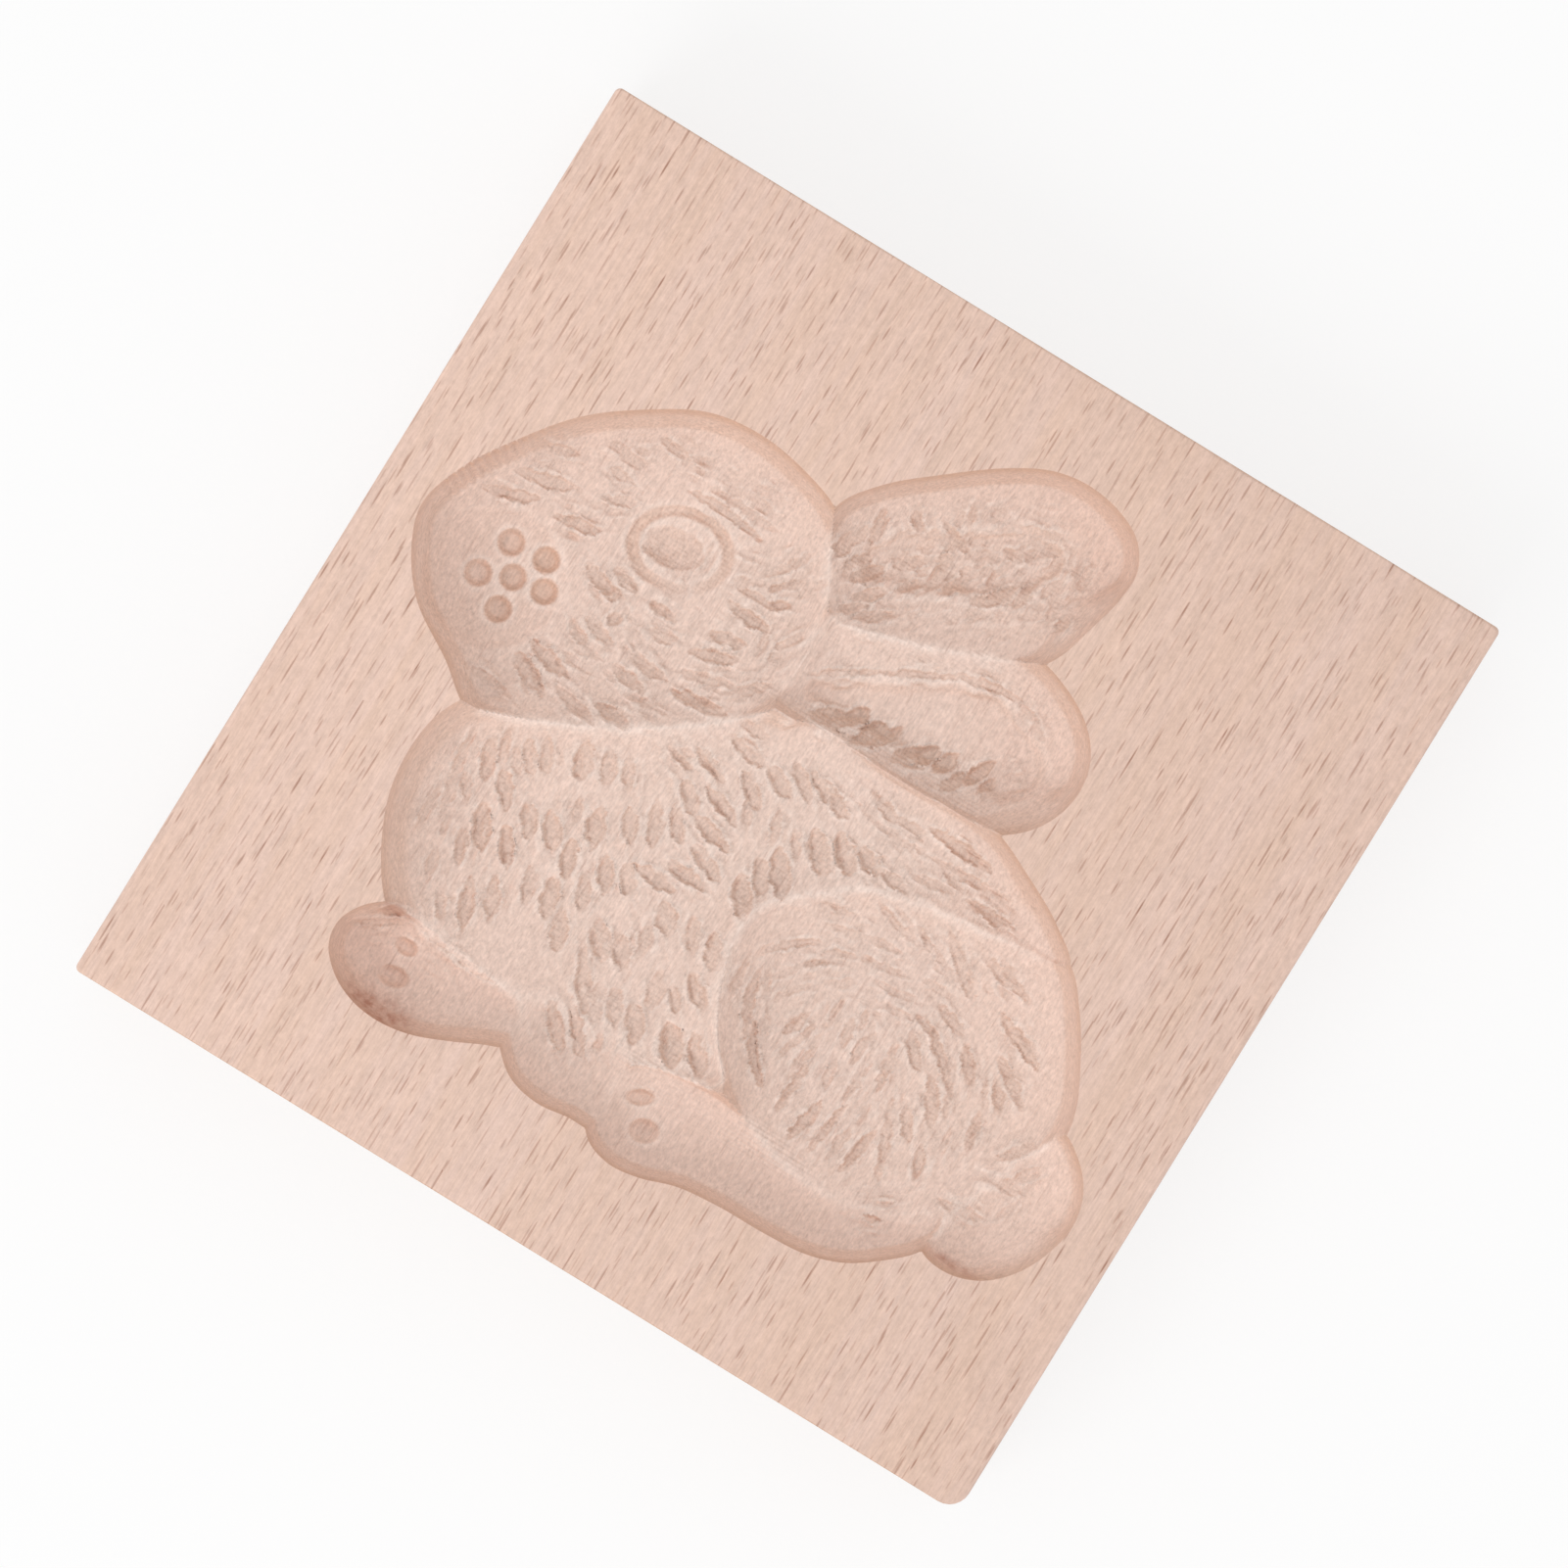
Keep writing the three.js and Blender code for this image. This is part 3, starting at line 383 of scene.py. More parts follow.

# Patches on the walls of the front paw and the tail, partly where the cutter has burnt the wood and partly
# painted shade: x, y, half width, half height and how strongly.
BURNS_AND_SHADE = ((-23.5, -38.4, 4.5, 1.6, 1), (-26.6, -29, 1.6, 0.7, 0.8), (37, -29.9, 2.6, 0.5, 0.75))

# The wood, in millimetres: where the pith runs, the mean width of a year's ring and the pitch of the cutter's
# lines. Flecks are their cell, their half sizes, the share of cells that hold one, and a shift.
PITH_X, PITH_UNDER = 16, 78
RING_WIDTH = 3.4
CUTTER_PITCH = 0.43
STRONG_FLECKS = ((1.3, 3.8, 10), (0.135, 1.8, 5.5), 0.8, 1.7)
FAINT_FLECKS = ((0.75, 2.8, 8), (0.11, 1.4, 4.5), 0.9, 7.3)


def number(name, description, default, **kind):
    return bpy.props.FloatProperty(name=name, description=description, default=default, **kind)


def length(name, description, default, **limits):
    return number(name, description, default, unit="LENGTH", **limits)


def factor(name, description, default, **limits):
    return number(name, description, default, subtype="FACTOR", **limits)


def colour(name, description, default):
    return bpy.props.FloatVectorProperty(
        name=name, description=description, subtype="COLOR", default=default
    )


class MouldSizes(bpy.types.PropertyGroup):
    """Sizes of the block and of its carving."""

    board_side: length("Board side", "Length of the block's sides", BLOCK_HIGH.x - BLOCK_LOW.x, min=0.05)
    board_thickness: length("Board thickness", "Height of the block", BLOCK_HIGH.z - BLOCK_LOW.z, min=0.01)
    edge_ease: length(
        "Edge ease", "Rounding along the edges of the top and bottom faces", 0.3 * MM, min=0.05 * MM
    )
    corner_radius: length("Corner radius", "Rounding of three upright corners", 0.6 * MM)
    worn_corner_radius: length(
        "Worn corner radius", "Rounding of the upright corner at +X -Y, which is worn", 2.2 * MM
    )
    wall_depth: length("Wall depth", "From the top face down to the foot of the hollow's wall", 4.8 * MM)
    wall_width: length("Wall width", "How far the hollow's wall leans in, seen from above", 1.7 * MM)
    chest_wall_width: length("Chest wall width", "How far the wall of the chest leans in", 2.9 * MM)
    ridge_blend: length("Ridge blend", "Rounding where two forms of the rabbit meet", 0.35 * MM)
    inner_ear_depth: length("Inner ear depth", "Depth of the ears' inner dish below their floor", 0.8 * MM)
    inner_ear_slope: length("Inner ear slope", "How far the side of the ears' inner dish leans in", 1.8 * MM)
    eye_ring_depth: length("Eye ring depth", "Depth of the groove round the eye", 0.5 * MM)
    pupil_depth: length("Pupil depth", "Depth of the eye's pupil", 0.65 * MM)
    whisker_dot_diameter: length("Whisker dot diameter", "Diameter of the round dots on the muzzle", 2.9 * MM)
    whisker_dot_depth: length("Whisker dot depth", "Depth of the round dots on the muzzle", 0.8 * MM)
    toe_depth: length("Toe depth", "Depth of the toes below the floor of a paw", 0.7 * MM)
    fur_strength: factor("Fur strength", "How deep all the fur cuts are, as a factor", 1.0)
    mesh_step: length(
        "Mesh step", "Distance between the points of the carving's mesh", 0.2 * MM, min=0.08 * MM
    )


class BeechLook(bpy.types.PropertyGroup):
    """Colours of the bare beech, and the colours that paint shade and highlights into its hollow."""

    face: colour("Planed face", "Colour of the planed face", linear(233, 202, 187))
    tan: colour("Warm band", "Colour of the warmer growth bands", linear(227, 192, 169))
    fleck: colour("Ray fleck", "Colour of the ray flecks", linear(158, 109, 88))
    fresh: colour("Carved floor", "Colour of the freshly cut floors", linear(236, 210, 197))
    # partly painted shade: this brown also goes on every steep wall of the hollow
    end_grain_and_wall_shade: colour("End grain", "Colour of wood cut across the grain", linear(214, 176, 152))
    # partly painted shade: this brown in the cuts and dents and on their sides stands partly for shade
    gouge: colour("Gouge cut", "Colour inside the fur cuts", linear(200, 154, 122))
    # painted highlight: the pale colour on the crests between cuts and on the ridges between lobes
    ridge_highlight: colour("Crest", "Colour of the dry edges and crests between the cuts", linear(246, 224, 212))
    # partly painted shade: besides burns, this colour darkens walls of the paw and tail where shade falls
    scorch_and_shade_colour: colour("Scorch", "Colour where the cutter has burnt the wood", linear(170, 112, 90))
    roughness: factor("Roughness", "Roughness of the planed face", 0.62, min=0, max=1)


class StageLook(bpy.types.PropertyGroup):
    """Floor, light and camera."""

    floor_colour: colour("Floor", "Colour of the floor", (0.92, 0.92, 0.92))
    floor_glow: factor(
        "Floor glow", "Share of plain white in the floor as the camera sees it", 0.75, min=0, max=1
    )
    sky_strength: number("Sky strength", "Strength of the even light from all round", 0.83, min=0)
    lamp_power: number("Lamp power", "Power of the soft lamp", 4.7, min=0, unit="POWER")
    lamp_size: length("Lamp size", "Side of the soft lamp", 0.75, min=0.01)
    camera_height: length("Camera height", "Height of the camera over the carved face", 0.9, min=0.2)


def smooth_outline(points, steps=12):
    """A smooth closed curve through the points, evenly stepped between each two of them."""
    at = np.array(points, float)
    before, after, beyond = np.roll(at, 1, 0), np.roll(at, -1, 0), np.roll(at, -2, 0)
    span_in = np.sqrt(np.linalg.norm(at - before, axis=1))[:, None]
    span = np.sqrt(np.linalg.norm(after - at, axis=1))[:, None]
    span_out = np.sqrt(np.linalg.norm(beyond - after, axis=1))[:, None]
    leave = ((at - before) / span_in - (after - before) / (span_in + span) + (after - at) / span) * span
    arrive = ((after - at) / span - (beyond - at) / (span + span_out) + (beyond - after) / span_out) * span
    t = np.linspace(0, 1, steps, endpoint=False)[:, None, None]
    chord = after - at
    curve = at + leave * t + (3 * chord - 2 * leave - arrive) * t**2 + (leave + arrive - 2 * chord) * t**3
    return curve.transpose(1, 0, 2).reshape(-1, 2)


def to_line(x, y, a, b):
    """Where on the line from a to b each point's nearest place is, from 0 to 1, and the offset from there."""
    dx, dy = b[0] - a[0], b[1] - a[1]
    t = np.clip(((x - a[0]) * dx + (y - a[1]) * dy) / (dx * dx + dy * dy), 0, 1)
    return t, x - a[0] - t * dx, y - a[1] - t * dy


def inside_distance(x, y, line):
    """Distance from each point to a closed line, positive inside it and negative outside."""
    nearest = np.full(x.shape, np.inf)
    inside = np.zeros(x.shape, bool)
    for a, b in zip(line, np.roll(line, -1, 0)):
        _, off_x, off_y = to_line(x, y, a, b)
        nearest = np.minimum(nearest, off_x**2 + off_y**2)
        if a[1] != b[1]:
            inside ^= ((a[1] > y) != (b[1] > y)) & (x < a[0] + (y - a[1]) * (b[0] - a[0]) / (b[1] - a[1]))
    return np.where(inside, 1, -1) * np.sqrt(nearest)


def spine_reach(x, y, spine):
    """Distance from each point to a lobe's spine and the spine's depth at the nearest place on it."""
    nearest, depth = np.full(x.shape, np.inf), np.zeros(x.shape)
    for a, b in zip(spine, spine[1:]):
        t, off_x, off_y = to_line(x, y, a, b)
        reach = np.hypot(off_x, off_y)
        depth = np.where(reach < nearest, a[2] + t * (b[2] - a[2]), depth)
        nearest = np.minimum(nearest, reach)
    return nearest, depth


def step_up(low, high, value):
    """0 below low and 1 above high, with a smooth rise between."""
    t = np.clip((value - low) / (high - low), 0, 1)
    return t * t * (3 - 2 * t)


def soft_noise(x, y, cell, seed):
    """Smooth unevenness between -1 and 1 with bumps about one cell wide."""
    random = np.random.default_rng(seed)
    size = 256
    lattice = random.uniform(-1, 1, (size, size))
    u, v = x / cell + size / 2, y / cell + size / 2
    i, j = np.floor(u).astype(int), np.floor(v).astype(int)
    s, t = u - i, v - j
    s, t = s * s * (3 - 2 * s), t * t * (3 - 2 * t)
    i0, i1, j0, j1 = i % size, (i + 1) % size, j % size, (j + 1) % size
    low = lattice[j0, i0] * (1 - s) + lattice[j0, i1] * s
    high = lattice[j1, i0] * (1 - s) + lattice[j1, i1] * s
    return low * (1 - t) + high * t


def blurred(values, reach):
    """The values evened out over a square of about two reaches across, given in grid steps."""
    for axis in (0, 1):
        for _ in range(2):
            sums = np.cumsum(np.insert(values, 0, 0, axis), axis)
            size = values.shape[axis]
            low = np.clip(np.arange(size) - reach, 0, size)
            high = np.clip(np.arange(size) + reach + 1, 0, size)
            total = np.take(sums, high, axis) - np.take(sums, low, axis)
            count = high - low
            values = total / (count[:, None] if axis == 0 else count)
    return values


def turned(x, y, centre_x, centre_y, angle):
    """The points seen from a centre, along and across a direction."""
    c, s = math.cos(math.radians(angle)), math.sin(math.radians(angle))
    return (x - centre_x) * c + (y - centre_y) * s, (y - centre_y) * c - (x - centre_x) * s


class Carving:
    """The hollow as depths below the top face, in millimetres, over a square grid."""

    MARGIN = 1.5

    def __init__(self, sizes):
        self.sizes = sizes
        self.step = sizes.mesh_step / MM
        self.outlines = {name: smooth_outline(points) for name, points in OUTLINES.items()}
        every = np.concatenate(list(self.outlines.values()))
        self.low = np.floor(every.min(0)) - self.MARGIN
        high = np.ceil(every.max(0)) + self.MARGIN
        self.x, self.y = np.meshgrid(*(np.arange(a, b, self.step) for a, b in zip(self.low, high)))
        self.edge = np.full(self.x.shape, -9.0)
        self.depth, self.soft, self.cut = (np.zeros(self.x.shape) for _ in range(3))

    def window(self, low, high):
        """The part of the grid between two corners."""
        i0, j0 = (max(int(n), 0) for n in (low - self.low) / self.step)
        i1, j1 = (int(n) + 2 for n in (high - self.low) / self.step)
        return slice(j0, j1), slice(i0, i1)

    def window_round(self, x, y, reach):
        centre = np.array([x, y])
        return self.window(centre - reach, centre + reach)

    def seen_from(self, x, y, angle, reach):
        """The part of the grid round a point, and its points along and across a direction."""
        part = self.window_round(x, y, reach)
        return part, *turned(self.x[part], self.y[part], x, y, angle)

    def bumps(self, cell, seed):
        return soft_noise(self.x, self.y, cell, seed)

    def rim_distance(self, x, y):
        """Distance to the rim of the whole hollow, positive inside, for loose points."""
        best = np.full(x.shape, -np.inf)
        for outline in self.outlines.values():
            low, high = outline.min(0) - 1, outline.max(0) + 1
            near = (x > low[0]) & (x < high[0]) & (y > low[1]) & (y < high[1])
            best[near] = np.maximum(best[near], inside_distance(x[near], y[near], outline))
        return best

    def chatter(self, x, y):
        """Ragged nibs that the cutter left along the top of the muzzle's wall."""
        along, _ = turned(x, y, *NIB_START)
        on_muzzle = step_up(-1.5, 1, along) * (1 - step_up(11, 15, along))
        by_rim = step_up(-40.5, -43, x - 0.42 * (y - 10))
        return NIB_DEPTH * on_muzzle * by_rim * np.sin(2 * math.pi * along / NIB_PITCH)

    def lobes(self):
        """Depth of the plain forms and the distance to the rim."""
        sizes = self.sizes
        blend = sizes.ridge_blend / MM
        for name, outline in self.outlines.items():
            lean_share, depth_share = WALL_SHARES.get(name, (1, 1))
            wall_depth = depth_share * sizes.wall_depth / MM
            part = self.window(outline.min(0) - self.MARGIN, outline.max(0) + self.MARGIN)
            x, y = self.x[part], self.y[part]
            edge = inside_distance(x, y, outline)
            self.edge[part] = np.maximum(self.edge[part], edge)
            width = (sizes.chest_wall_width if name == "chest" else sizes.wall_width * lean_share) / MM
            if name in SOFT_WALLS:
                soft_x, soft_y, reach = SOFT_WALLS[name]
                soft = step_up(1, 0.3, np.hypot(x - soft_x, y - soft_y) / reach) * (edge > 0)
                self.soft[part] = np.maximum(self.soft[part], soft)
                width = width * (1 + soft)
            wavy = np.maximum(edge, 0) + self.chatter(x, y) * (edge > 0) * (edge < width)
            wall = wall_depth * (1 - (1 - np.clip(wavy / width, 0, 1)) ** WALL_EASE)
            past = np.maximum(edge - width, 0)
            reach, spine_depth = spine_reach(x, y, SPINES[name])
            share = past / (past + reach + 1e-9)
            ease = SMALL_FLOOR_EASE if name in SMALL_LOBES else FLOOR_EASE
            depth = wall + (spine_depth - wall_depth) * (1 - (1 - share) ** ease)
            depth = np.where(edge > 0, depth, 0)
            other = self.depth[part]
            near = np.maximum(blend - np.abs(depth - other), 0) / blend
            both = (depth > 0) & (other > 0)
            self.depth[part] = np.maximum(depth, other) + np.where(both, near**2 * blend / 4, 0)

    # Paints the tint of cuts and dents: partly the colour of cut wood and partly painted shade.
    def darken(self, part, shade):
        self.cut[part] = np.maximum(self.cut[part], shade)

    def bowl(self, oval, depth, flat=1.0):
        """Cuts an oval dent. A higher flat makes its floor flatter and its side steeper."""
        x, y, half_long, half_wide, angle = oval
        part, along, across = self.seen_from(x, y, angle, half_long + 1)
        round_ = (along / half_long) ** 2 + (across / half_wide) ** 2
        dent = depth * np.clip(flat * (1 - round_), 0, 1)
        self.depth[part] += dent
        return part, dent

    def details(self):
        """Inner ears, eye, whisker dots and toes."""
        sizes = self.sizes
        for dish in INNER_EARS:
            outline = smooth_outline(dish)
            part = self.window(outline.min(0), outline.max(0))
            edge = inside_distance(self.x[part], self.y[part], outline)
            self.depth[part] += sizes.inner_ear_depth / MM * step_up(0, sizes.inner_ear_slope / MM, edge)
        x, y, half_long, half_wide, angle = EYE_RING
        part, along, across = self.seen_from(x, y, angle, half_long + 2)
        round_ = np.hypot(along / half_long, across / half_wide)
        off = np.abs(round_ - 1) * (half_long + half_wide) / 2
        way = np.arctan2(across, along)
        fade = 0.4 + 0.6 * np.maximum(np.cos(way - math.radians(50)), np.cos(way - math.radians(190)))
        groove = fade * np.cos(np.clip(off / EYE_RING_HALF_WIDTH, 0, 1) * math.pi / 2) ** 2
        ball = EYEBALL_DEPTH * np.clip(1 - (round_ / 0.8) ** 2, 0, 1)
        self.depth[part] += sizes.eye_ring_depth / MM * groove + ball
        # the eye ring, pupil, muzzle, whisker dots and toes are painted darker: cut wood colour and painted
        # shade
        self.darken(part, 0.7 * groove)
        part, dent = self.bowl(PUPIL, sizes.pupil_depth / MM)
        self.darken(part, 0.22 * step_up(0, 0.5, dent))
        part, dent = self.bowl(MUZZLE, MUZZLE_DEPTH, 4)
        self.darken(part, 0.5 * dent)
        radius = sizes.whisker_dot_diameter / MM / 2
        for x, y, shade in WHISKER_DOTS:
            part, dent = self.bowl((x, y, radius, radius, 0), sizes.whisker_dot_depth / MM, 1.3)
            self.darken(part, 0.85 * shade * step_up(0, 0.3, dent))
        for toe in TOES:
            part, dent = self.bowl(toe, sizes.toe_depth / MM)
            self.darken(part, 0.15 * step_up(0, 0.3, dent))

    def scattered(self, seed, columns, rows, jitter, least, most, angle, spread):
        """Loose places over a grid: x, y, distance to the rim, angle, and length, width and strength."""
        random = np.random.default_rng(seed)
        for row in np.arange(*rows):
            for column in np.arange(*columns):
                x, y = column + random.uniform(-jitter, jitter), row + random.uniform(-jitter, jitter)
                size = random.uniform(least, most)
                yield x, y, self.edge[self.window_round(x, y, 0)].min(), random.normal(angle, spread), size

    def hairs(self):
        """Fine short cuts scattered between the fur cuts, which run the way of the cuts round them."""
        guides = (cuts for lock, cuts in FUR.items() if "near_ear" not in lock and lock != "tail")
        named = [cut for cuts in guides for cut in cuts]
        x, y, angle = (np.array([cut[k] for cut in named]) for k in range(3))
        double = np.radians(2 * angle)
        for at_x, at_y, edge, lean, size in self.scattered(*BODY_HAIRS):
            away = np.hypot(x - at_x, y - at_y)
            smooth = any(math.hypot(at_x - sx, at_y - sy) < reach for sx, sy, reach in SMOOTH_SPOTS)
            if smooth or edge < BODY_RIM_GAP or not HAIR_GAPS[0] < away.min() < HAIR_GAPS[1]:
                continue
            near = np.exp(-((away / 2.5) ** 2))
            way = math.atan2((near * np.sin(double)).sum(), (near * np.cos(double)).sum()) / 2
            yield at_x, at_y, math.degrees(way) + lean, *size

    def ear_hairs(self):
        """Dense short cuts over the far ear, which lean the way that the ear points."""
        for x, y, edge, angle, (long, wide, strength) in self.scattered(*EAR_HAIRS):
            middle, slope, half_width = EAR_BAND
            past_band = y - middle - slope * x
            if edge > EAR_RIM_GAP and y > 17.5 + slope * (x + 5):
                yield x, y, angle, long, wide, strength * math.exp(-((past_band / half_width) ** 2))

    def fur(self):
        """Gouge cuts: pointed leaves, steep on one side and flat on the other, with a low burr round them."""
        fur, burr = np.zeros(self.x.shape), np.zeros(self.x.shape)
        ragged = RAGGED_EDGE * self.bumps(0.8, 7) + RAGGED_EDGE * self.bumps(0.4, 8)
        fine = self.bumps(0.35, 9)
        for lock, cuts in (*FUR.items(), ("hairs", self.hairs()), ("far_ear", self.ear_hairs())):
            shade, steep_side = LOCK_SHADES.get(lock, USUAL_SHADE), STEEP_SIDES.get(lock, 1)
            slender, strong = SLENDER_LOCKS.get(lock, 1), STRONG_LOCKS.get(lock, 1)
            for x, y, angle, long, wide, *rest in cuts:
                strength, bend = rest + [1, 0][len(rest):]
                long, wide = long * FUR_LENGTHENING, wide * FUR_WIDENING * slender
                part, along, across = self.seen_from(x, y, angle, long / 2 + 1)
                along, across = along - 1.5 * ragged[part], across + ragged[part]
                u = np.clip(along / (long / 2), -1, 1)
                leaf = np.maximum(1 - u * u, 0)
                half = wide / 2 * leaf**0.85 + 1e-6
                off = across - bend * (leaf - 0.5)
                share = off / half * steep_side
                flat = FLAT_START + (1 - FLAT_START) * (share + 1) / (2 - STEEP_PART)
                lean = np.minimum((1 - share) / STEEP_PART, flat)
                cut = np.clip(np.minimum(lean, (1 + share) / 0.25), 0, 1)
                cut = cut * leaf**0.5 * (1 + 0.3 * fine[part])
                deepest = FUR_DEPTH_PER_WIDTH * strong * strength * (0.35 + 0.65 * wide)
                fur[part] = np.maximum(fur[part], deepest * cut)
                lip = np.exp(-(((np.abs(off) - half - BURR_WIDTH) / BURR_WIDTH) ** 2)) * leaf**0.5
                burr[part] = np.maximum(burr[part], BURR_SHARE * deepest * lip)
                # painted shade in the cut, darker at its sides and paler in its middle
                pale_middle = 1 - 0.5 * step_up(0.5, 0.95, cut)
                self.darken(part, shade * step_up(0, 0.3, deepest * cut) * pale_middle)
        relief = np.where(fur > 0.03, fur, -burr)
        self.depth += relief * self.sizes.fur_strength * step_up(0, 1.6, self.depth)

    def unevenness(self):
        """The small unevenness of a milled floor, and faint hairs that run the way of the fur cuts."""
        self.furry, hairs = np.zeros(self.x.shape), np.zeros(self.x.shape)
        weights = np.full(self.x.shape, 1e-6)
        for x, y, angle, *_ in (cut for cuts in FUR.values() for cut in cuts):
            part, along, across = self.seen_from(x, y, angle, FUR_REACH)
            near = 1 - step_up(0.8, FUR_REACH, np.hypot(along, across))
            self.furry[part] = np.maximum(self.furry[part], near)
            hairs[part] += near * soft_noise(along * 0.24 + x, across + y, 0.42, 21)
            weights[part] += near
        self.depth += FAINT_HAIR_DEPTH * self.furry * hairs / weights * step_up(0.8, 3, self.depth)
        rough = 0.07 * self.bumps(0.9, 3) + 0.06 * self.bumps(0.45, 4)
        slow = 0.08 * self.bumps(4.5, 5)
        self.depth += step_up(0.3, 2.5, self.depth) * (slow + rough * (0.35 + 0.65 * self.furry))

    def make(self):
        """Cuts the plain forms, and then everything finer into them."""
        self.lobes()
        self.plain = self.depth.copy()
        for cut in (self.details, self.fur, self.unevenness, self.snap):
            cut()

    def snap(self):
        """Moves the grid point nearest to each crossing of the rim onto the rim, to make its edge crisp."""
        sign = np.sign(self.edge)
        sign[sign == 0] = 1
        on_rim = np.zeros(self.x.shape, bool)
        for ahead, back in (
            ((slice(None), slice(1, None)), (slice(None), slice(None, -1))),
            ((slice(1, None), slice(None)), (slice(None, -1), slice(None))),
        ):
            crossing = sign[ahead] != sign[back]
            nearer = np.abs(self.edge[ahead]) < np.abs(self.edge[back])
            on_rim[ahead] |= crossing & nearer
            on_rim[back] |= crossing & ~nearer
        x, y = self.x[on_rim], self.y[on_rim]
        small = 0.02
        for _ in range(3):
            edge = self.rim_distance(x, y)
            slope_x = (self.rim_distance(x + small, y) - edge) / small
            slope_y = (self.rim_distance(x, y + small) - edge) / small
            steepness = np.maximum(slope_x**2 + slope_y**2, 0.25)
            x, y = x - edge * slope_x / steepness, y - edge * slope_y / steepness
        reach = 0.6 * self.step
        for values, moved in ((self.x, x), (self.y, y)):
            values[on_rim] += np.clip(moved - values[on_rim], -reach, reach)
        self.side = np.where(on_rim, 0, sign).astype(int)
        self.depth[self.side <= 0] = 0

    def faces(self):
        """Faces of the hollow as corner indices into the grid, split along the rim where it cuts a square."""
        rows, columns = self.x.shape
        index = np.arange(rows * columns).reshape(rows, columns)
        corners = np.stack([index[:-1, :-1], index[:-1, 1:], index[1:, 1:], index[1:, :-1]], -1)
        corners = corners.reshape(-1, 4)
        side = self.side.ravel()[corners]
        used = (side > 0).any(1)
        corners, side = corners[used], side[used]
        cut = (side < 0).any(1)
        faces = corners[~cut].tolist()
        for corner, sign in zip(corners[cut].tolist(), side[cut].tolist()):
            k = sign.index(1)
            faces.append([corner[k - 1], corner[k], corner[(k + 1) % 4]])
        return faces


def board_outline(sizes):
    """Points round the block's plan and the way out at each, in millimetres, anticlockwise."""
    half = sizes.board_side / MM / 2
    plain, worn = sizes.corner_radius / MM, sizes.worn_corner_radius / MM
    radii = (worn, plain, plain, plain, worn)
    points, outward = [], []
    for turn in range(4):
        radius, next_radius = radii[turn : turn + 2]
        side_way = np.array([math.cos(turn * math.pi / 2), math.sin(turn * math.pi / 2)])
        forward = np.array([-side_way[1], side_way[0]])
        centre = (half - radius) * np.round(side_way - forward)
        for angle in np.linspace(turn - 1, turn, CORNER_POINTS) * math.pi / 2:
            way = np.array([math.cos(angle), math.sin(angle)])
            points.append(centre + radius * way)
            outward.append(way)
        straight = forward * (2 * half - radius - next_radius)
        for share in np.linspace(0, 1, SIDE_STEPS, endpoint=False)[1:]:
            points.append(centre + radius * side_way + straight * share)
            outward.append(side_way)
    return np.array(points), np.array(outward)


def build_mould(sizes):
    """The whole block as one closed mesh: hollow, top face, eased edges, sides and bottom."""
    carving = Carving(sizes)
    carving.make()
    top = sizes.board_thickness / MM
    inner = carving.faces()
    used = np.unique(np.concatenate([np.array(face) for face in inner]))
    count = len(used)
    renumber = np.full(carving.x.size, -1)
    renumber[used] = np.arange(count)
    faces = [renumber[np.array(face)].tolist() for face in inner]
    x, y, depth = (values.ravel()[used] for values in (carving.x, carving.y, carving.depth))
    points = [np.column_stack([x, y, top - depth])]

    outline, outward = board_outline(sizes)
    wear = soft_noise(*outline.T, 7, 11) + 0.6 * soft_noise(*outline.T, 2.2, 12)
    ease = sizes.edge_ease / MM * (1 + 0.35 * wear)
    arc = np.linspace(0, math.pi / 2, EASE_POINTS)
    for height, way, angles in ((top, -1, arc), (0, 1, arc[::-1])):
        for angle in angles:
            inset = ease * (1 - math.sin(angle))
            level = height + way * ease * (1 - math.cos(angle))
            points.append(np.column_stack([outline - outward * inset[:, None], level]))
    here = np.arange(len(outline))
    beside = np.roll(here, -1)
    for upper in count + len(outline) * np.arange(2 * EASE_POINTS - 1):
        lower = upper + len(outline)
        faces += np.column_stack([upper + here, lower + here, lower + beside, upper + beside]).tolist()
    faces.append((lower + here[::-1]).tolist())
    points = np.concatenate(points)
    first_flat = len(faces)
    faces.extend(fill_face(points, faces[: len(inner)], (count + here).tolist()))

    mesh = bpy.data.meshes.new("mould")
    mesh.from_pydata(points * MM, [], faces)
    smooth = np.ones(len(faces), bool)
    smooth[first_flat:] = False
    mesh.polygons.foreach_set("use_smooth", smooth)
    mesh.update()
    mesh.set_sharp_from_angle(angle=math.radians(SHARP_ANGLE))
    sharpen_rim(mesh, len(inner), first_flat)
    paint_masks(mesh, carving, used, len(inner))
    return mesh


def read(elements, name, kind=int):
    """One value of every element of a mesh."""
    values = np.zeros(len(elements), kind)
    elements.foreach_get(name, values)
    return values


def sharpen_rim(mesh, inner_faces, first_flat):
    """Keeps the edge between the hollow and the flat face sharp all round."""
    starts, edge_of = read(mesh.polygons, "loop_start"), read(mesh.loops, "edge_index")
    sharp = read(mesh.edges, "use_edge_sharp", bool)
    sharp[np.intersect1d(edge_of[: starts[inner_faces]], edge_of[starts[first_flat]:])] = True
    mesh.edges.foreach_set("use_edge_sharp", sharp)


